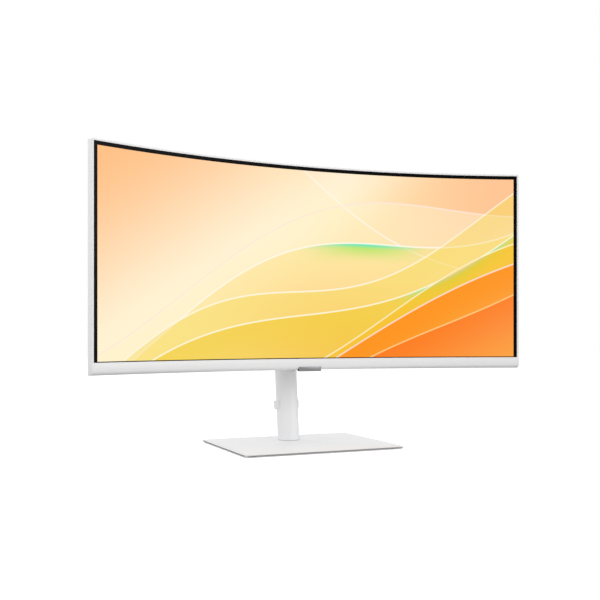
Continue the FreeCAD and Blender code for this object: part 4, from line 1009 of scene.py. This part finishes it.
# ---------------------------------------------------------------------------------------------
# Sub-assemblies
# ---------------------------------------------------------------------------------------------
@dataclass
class Display:
    """The curved glass with its picture, the rim round it and the chin under it."""

    curve: ScreenCurve = field(default_factory=ScreenCurve)
    active_width: float = 0.7998
    border: float = 0.0063
    bottom_line: float = 0.0014
    rim_width: float = 0.0036
    rim_depth: float = 0.0113
    rim_proud: float = 0.0005
    rim_round: float = 0.0009
    corner: float = 0.003
    chin_proud: float = 0.0012
    chin_depth: float = 0.007
    chin_round: float = 0.006
    chin_bevel: float = 0.001
    bead_share: float = 0.07
    bead_proud: float = 0.00025
    stations: int = 161

    def build(self) -> None:
        """Build and dress the three pieces."""
        low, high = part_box("lcd_panel")
        tall = high.z - low.z
        side = self.border / (self.active_width + 2 * self.border)
        ScreenFinish(left=side, right=1 - side, low=self.bottom_line / tall,
                     high=1 - self.border / tall).build()
        stand_in(self.glass(), "lcd_panel")
        stand_in(self.rim(), "middle_frame")
        stand_in(self.chin(), "chin_bezel")

    def glass(self) -> bpy.types.Object:
        """The glass: a thin upright strip of four corners, carried along the curve.

        The first coordinate of its map is the share of the arc, and the second of the height.

        Returns:
            The glass, with its map.
        """
        low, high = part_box("lcd_panel")
        half = self.curve.half_arc("lcd_panel", self.curve.cell_thickness)
        along = np.linspace(-half, half, self.stations)[:, None]
        depth = np.array([0.0, 0.0, self.curve.cell_thickness, self.curve.cell_thickness])[None]
        height = np.array([low.z, high.z, high.z, low.z])[None]
        along, depth, height = np.broadcast_arrays(along, depth, height)
        points = self.curve.place(along, depth, height)
        uv = np.stack([(along + half) / (2 * half), (height - low.z) / (high.z - low.z)], axis=-1)
        last = (self.stations - 1) * 4
        made = mesh_object("screen_glass", points, grid_faces(self.stations, 4, wrap_columns=True),
                           [[3, 2, 1, 0], [last, last + 1, last + 2, last + 3]], uv.reshape(-1, 2))
        face_outwards(made)
        return shade(made, 20)

    def rim(self) -> bpy.types.Object:
        """The rim: a small section carried round the head's outline.

        The outline is a rectangle with rounded corners. At each of its points, the inner edge is
        that point held within the window, and the section runs from the inner to the outer edge.
        Beside and under the chin the section starts further back.

        Returns:
            The rim, as one closed skin.
        """
        low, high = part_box("middle_frame")
        chin_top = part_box("chin_bezel")[1].z
        half = self.curve.half_arc("middle_frame", self.rim_depth)
        turn = np.linspace(-math.pi / 2, 0, 7)
        run = np.linspace(-half + self.corner, half - self.corner, self.stations)
        climb = np.array([low.z + self.corner, chin_top, chin_top, high.z - self.corner])
        curl = np.stack([half - self.corner + self.corner * np.cos(turn),
                         self.corner + self.corner * np.sin(turn)], axis=1)
        lower = np.stack([run, np.full_like(run, low.z)], axis=1)
        right_low = curl + [0, low.z]
        right = np.stack([np.full(4, half), climb], axis=1)
        right_high = np.stack([curl[::-1, 0], high.z - curl[::-1, 1]], axis=1)
        upper = np.stack([run[::-1], np.full_like(run, high.z)], axis=1)
        flip = np.array([-1.0, 1.0])
        outer = np.concatenate([lower, right_low, right, right_high, upper, right_high[::-1] * flip,
                                right[::-1] * flip, right_low[::-1] * flip])
        front = np.where(outer[:, 1] > chin_top + 1e-6, -self.rim_proud, self.chin_depth)
        steps = np.flatnonzero(np.abs(outer[:, 1] - chin_top) < 1e-9)
        front[steps[1:3]] = -self.rim_proud
        window = half - self.rim_width
        inner = np.stack([np.clip(outer[:, 0], -window, window),
                          np.clip(outer[:, 1], low.z + self.rim_width, high.z - self.rim_width)],
                         axis=1)
        quarter = np.linspace(0, math.pi / 2, 6)
        lip = self.rim_round / self.rim_width
        share = np.concatenate([[0.0, 0.0, self.bead_share], 1 - lip * (1 - np.sin(quarter)),
                                [1.0]])
        proud = np.concatenate([[0.0, self.bead_proud, 0.0],
                                self.rim_round * (1 - np.cos(quarter)), [0.0]])
        places = inner[:, None] + (outer - inner)[:, None] * share[None, :, None]
        depth = front[:, None] + proud[None]
        depth[:, [0, -1]] = self.rim_depth
        rings = self.curve.place(places[..., 0], depth, places[..., 1])
        return shade(loft("screen_rim", rings, closed=True), 40)

    def chin(self) -> bpy.types.Object:
        """The chin: a section with a rounded foot and a bevelled top, carried along the curve.

        Near each end the section is shortened so that the corner is a quarter circle: at a distance
        e from the end the foot rises by c less the root of c squared less the square of c - e.

        Returns:
            The chin, as one closed skin.
        """
        low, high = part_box("chin_bezel")
        half = self.curve.half_arc("middle_frame", self.rim_depth)
        ends = self.corner * (1 - np.cos(np.linspace(0, math.pi / 2, 9)))
        middle = np.linspace(-half + self.corner, half - self.corner, self.stations)[1:-1]
        along = np.concatenate([-half + ends, middle, half - ends[::-1]])
        short = np.clip(self.corner - (half - np.abs(along)), 0, self.corner)
        lift = self.corner - np.sqrt(np.maximum(self.corner ** 2 - short ** 2, 0))
        turn = np.linspace(0, math.pi / 2, 10)
        depth = np.concatenate([[self.chin_depth], [-self.chin_proud + self.chin_bevel],
                                -self.chin_proud + self.chin_bevel * np.array([0.3, 0.0]),
                                -self.chin_proud + self.chin_round * (1 - np.cos(turn)),
                                [self.chin_depth]])
        height = np.concatenate([[high.z, high.z], high.z - self.chin_bevel * np.array([0.3, 1.0]),
                                 low.z + self.chin_round * (1 - np.sin(turn)), [low.z]])
        share = (high.z - height) / (high.z - low.z)
        tall = (high.z - low.z - lift)[:, None]
        grid = (len(along), len(depth))
        rings = self.curve.place(np.broadcast_to(along[:, None], grid),
                                 np.broadcast_to(depth, grid), high.z - share[None] * tall)
        return shade(loft("chin_strip", rings), 40)


@dataclass
class Badge:
    """The blank satin badge that hangs from the chin, and the round cap of the button."""

    slant: float = 0.001
    corner: float = 0.0006
    bevel: float = 0.0002
    cap_radius: float = 0.004
    cap_round: float = 0.0008
    cap_edge: float = 0.0003
    cap_dish: float = 0.0003
    cap_web: float = 0.0008
    stem_play: float = 0.00005

    def build(self) -> None:
        """Build and dress the badge and the cap."""
        stand_in(self.plate(), "badge_plate")
        stand_in(self.cap(), "jog_cap")

    def plate(self) -> bpy.types.Object:
        """The badge: a trapezium with rounded corners, drawn in smaller rings to a bevelled face.

        Returns:
            The badge.
        """
        low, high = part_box("badge_plate")
        corners = np.array([[low.x + self.slant, low.z], [high.x - self.slant, low.z],
                            [high.x, high.z], [low.x, high.z]])
        outline = rounded_outline(corners, self.corner)
        part = 0.3 * self.bevel
        levels = [(0.0, high.y), (0.0, low.y + self.bevel), (part, low.y + part),
                  (self.bevel, low.y)]
        rings = []
        for inset, depth in levels:
            ring = inset_outline(outline, inset)
            rings.append(np.stack([ring[:, 0], np.full(len(ring), depth), ring[:, 1]], axis=1))
        return shade(loft("blank_badge", np.array(rings)), 25)

    def cap(self) -> bpy.types.Object:
        """The button's cap: a turned pin with a dished end and a blind hole for its stem.

        Returns:
            The cap.
        """
        low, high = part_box("jog_cap")
        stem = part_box("jog_stem")
        bore = (stem[1].x - stem[0].x) / 2 + self.stem_play
        floor = stem[0].z - low.z - self.cap_web
        outside = knob_profile(self.cap_radius, high.z - low.z, self.cap_round, self.cap_edge,
                               dish=self.cap_dish)[:-1]
        inside = np.array([[bore, high.z - low.z], [bore, floor], [0.0, floor]])
        centre = np.array([(low.x + high.x) / 2, (low.y + high.y) / 2, low.z])
        profile = np.concatenate([outside, inside])
        return Turning(profile, 48).solid("button_cap", [(centre, np.array([0, 0, 1.0]))])


@dataclass
class Column:
    """The leaning column, the tube that slides in it, and what can be seen of the hinge."""

    axis: LeaningAxis = field(default_factory=LeaningAxis)
    wall: float = 0.002
    lip: float = 0.0006
    foot_lip: float = 0.0003
    disc_foot: float = 0.0001
    disc_rim: float = 0.0009
    pad_radius: float = 0.009
    pad_foot: float = 0.0005
    pad_top: float = 0.0001
    steps: int = 96

    def build(self) -> None:
        """Build and dress the two tubes, the hinge caps and the rubber pads."""
        stand_in(self.tube("column_tube", "column_sleeve", level_foot=True), "column_tube")
        stand_in(self.tube("lift_tube", "lift_sleeve", level_foot=False), "lift_tube")
        stand_in(self.hinge_caps(), "hinge_caps")
        stand_in(self.pads(), "rubber_feet")

    def tube(self, node: str, name: str, level_foot: bool) -> bpy.types.Object:
        """A tube along the axis: a closed wall section at each angle.

        The column's foot is cut level, so there a point that lies b behind the axis starts further
        along it, by b times the tangent of the lean.

        Args:
            node: The CAD node that gives its size.
            name: Name of the object.
            level_foot: Cut the foot level, not square to the axis.

        Returns:
            The tube.
        """
        low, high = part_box(node)
        radius = (high.x - low.x) / 2
        sine, cosine = self.axis.along[1], self.axis.along[2]
        top = (high.z - radius * sine) / cosine
        foot = low.z / cosine if level_foot else (low.z + radius * sine) / cosine
        bore = radius - self.wall
        reach = np.array([bore, radius - self.lip, radius - 0.3 * self.lip, radius, radius,
                          radius - self.foot_lip, bore])
        along = np.array([top, top, top - 0.3 * self.lip, top - self.lip, foot + self.foot_lip,
                          foot, foot])
        angle = np.linspace(0, 2 * math.pi, self.steps, endpoint=False)[:, None]
        across, back = reach * np.cos(angle), reach * np.sin(angle)
        along = np.broadcast_to(along, across.shape).copy()
        if level_foot:
            along[:, -3:] += back[:, -3:] * sine / cosine
        made = loft(name, self.axis.place(across, back, along), closed=True)
        return shade(made)

    def hinge_caps(self) -> bpy.types.Object:
        """The two caps over the ends of the tilt shaft: turned discs with a rounded outer rim.

        Returns:
            Both caps, as one object.
        """
        low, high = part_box("hinge_caps")
        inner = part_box("lift_head")[1].x
        radius = (high.z - low.z) / 2
        middle = (low + high) / 2
        profile = knob_profile(radius, high.x - inner, self.disc_foot, self.disc_rim)
        places = [(np.array([side * inner, middle.y, middle.z]), np.array([side, 0, 0]))
                  for side in (-1.0, 1.0)]
        return Turning(profile, 72).solid("shaft_caps", places)

    def pads(self) -> bpy.types.Object:
        """The four rubber pads: turned discs, rounded where they meet the desk.

        Returns:
            All four pads, as one object.
        """
        low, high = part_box("rubber_feet")
        radius = self.pad_radius
        profile = knob_profile(radius, high.z - low.z, self.pad_foot, self.pad_top)
        places = [(np.array([x, y, low.z]), np.array([0, 0, 1.0]))
                  for x in (low.x + radius, high.x - radius)
                  for y in (low.y + radius, high.y - radius)]
        return Turning(profile, 48).solid("desk_pads", places)


@dataclass
class OtherPieces:
    """Every node that keeps its CAD shape, smoothed, with the width of the round on its edges."""

    widths: dict[str, float] = field(default_factory=lambda: {
        "lift_head": 0.0005, "tilt_bracket": 0.0004, "cable_clip": 0.0006, "top_bush": 0.0003,
        "bracket_screws": 0.00015, "socket_plate": 0.0001, "status_window": 0.0002,
        "tilt_washers": 0.0002, "power_board_parts": 0.0006, "main_board_parts": 0.0002,
        "vesa_plate": 0.0002, "board_tray": 0.0001})

    def build(self, done: set[str]) -> None:
        """Copy, smooth and dress each node that no other class has replaced.

        Args:
            done: Nodes that another class has replaced.
        """
        for node in sorted(frame["nodes"]):
            if node not in done:
                stand_in(refined(node, self.widths.get(node, 0.0)), node)


def replaced_nodes() -> set[str]:
    """The CAD nodes that some piece already stands in for.

    Returns:
        Their names.
    """
    found: set[str] = set()
    for piece in bpy.data.objects:
        found.update(piece.get("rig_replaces", []))
    return found


def dress_hidden_nodes() -> None:
    """Give every CAD node its own finish as well, shown or not."""
    for node, piece in frame["nodes"].items():
        for holder in piece.material_slots:
            holder.material = finish_of(node)[1]


# ---------------------------------------------------------------------------------------------
# Studio
# ---------------------------------------------------------------------------------------------
@dataclass
class Studio:
    """A pale floor, soft lights all round, and the camera."""

    camera_place: tuple[float, float, float] = (-0.6519, -1.4914, 0.2066)
    camera_turn: float = -0.41174
    focal_length: float = 53.18
    shift: float = 0.05474
    half_floor: float = 6.0
    surround: float = 0.82
    floor_seen: float = 0.95
    floor_bounce: float = 0.34
    floor_glow: float = 0.35
    floor_rough: float = 0.9
    sensor: float = 36.0
    aim_height: float = 0.25

    def build(self) -> None:
        """Set the camera, floor, world and lights."""
        self.camera()
        self.floor()
        self.world()
        self.lamp("left", (-2.4, -1.5, 1.0), 1.8, 17.0)
        self.lamp("right", (2.2, -2.0, 1.0), 1.8, 24.0)
        self.lamp("top", (0.2, 0.2, 2.8), 2.4, 22.0)
        self.lamp("back", (-1.4, 2.4, 1.8), 2.4, 20.0)
        bpy.context.scene.view_settings.view_transform = "Standard"

    def camera(self) -> None:
        """A level camera, a little to the left of the head."""
        data = bpy.data.cameras.new("Camera")
        data.lens = self.focal_length
        data.sensor_width = self.sensor
        data.shift_y = self.shift
        camera = bpy.data.objects.new("Camera", data)
        camera.location = self.camera_place
        camera.rotation_euler = (math.pi / 2, 0, self.camera_turn)
        bpy.context.scene.collection.objects.link(camera)
        bpy.context.scene.camera = camera

    def floor(self) -> None:
        """A wide pale floor that reflects less light upwards than it shows to the camera."""
        half = self.half_floor
        points = np.array([[-half, -half, 0], [half, -half, 0], [half, half, 0], [-half, half, 0]])
        made = mesh_object("floor", points, np.array([[0, 1, 2, 3]]))
        finish, wire, shader = new_finish("pale_floor")
        seen = wire.add("ShaderNodeLightPath").outputs["Is Camera Ray"]
        bounce, shown = (*(self.floor_bounce,) * 3, 1), (*(self.floor_seen,) * 3, 1)
        wire.join(wire.blend(seen, bounce, shown), shader.inputs["Base Color"])
        wire.join(wire.blend(seen, (0, 0, 0, 1), (1, 1, 1, 1)), shader.inputs["Emission Color"])
        shader.inputs["Emission Strength"].default_value = self.floor_glow
        shader.inputs["Roughness"].default_value = self.floor_rough
        made.data.materials.append(finish)

    def world(self) -> None:
        """White for the camera; softer light for the object, weaker from straight above."""
        world = bpy.data.worlds.new("Soft white")
        world.use_nodes = True
        wire = Wiring(world.node_tree)
        back = world.node_tree.nodes["Background"]
        parts = wire.add("ShaderNodeSeparateXYZ")
        wire.join(wire.add("ShaderNodeTexCoord").outputs["Generated"], parts.inputs[0])
        high = wire.smooth(parts.outputs[2], 0.1, 0.9, 1.0, 0.86)
        light = wire.math("MULTIPLY", high, self.surround)
        seen = wire.add("ShaderNodeLightPath").outputs["Is Camera Ray"]
        back.inputs["Color"].default_value = (1, 1, 1, 1)
        wire.join(wire.math("MAXIMUM", seen, light), back.inputs["Strength"])
        bpy.context.scene.world = world

    def lamp(self, name: str, place: tuple[float, float, float], size: float, power: float) -> None:
        """A square soft light that faces the middle of the object.

        Args:
            name: Name of the light.
            place: Where it stands.
            size: Side of the square, in metres.
            power: Power in watts.
        """
        data = bpy.data.lights.new(name, "AREA")
        data.size = size
        data.energy = power
        lamp = bpy.data.objects.new(name, data)
        lamp.location = place
        aim = Vector((0, 0, self.aim_height)) - Vector(place)
        lamp.rotation_euler = aim.to_track_quat("-Z", "Y").to_euler()
        bpy.context.scene.collection.objects.link(lamp)


def main() -> None:
    """Build every sub-assembly, then the studio."""
    Display().build()
    Badge().build()
    Column().build()
    OtherPieces().build(replaced_nodes())
    dress_hidden_nodes()
    Studio().build()


if __name__ == "__main__":
    logging.basicConfig(level=logging.INFO, format="%(message)s")
    main()
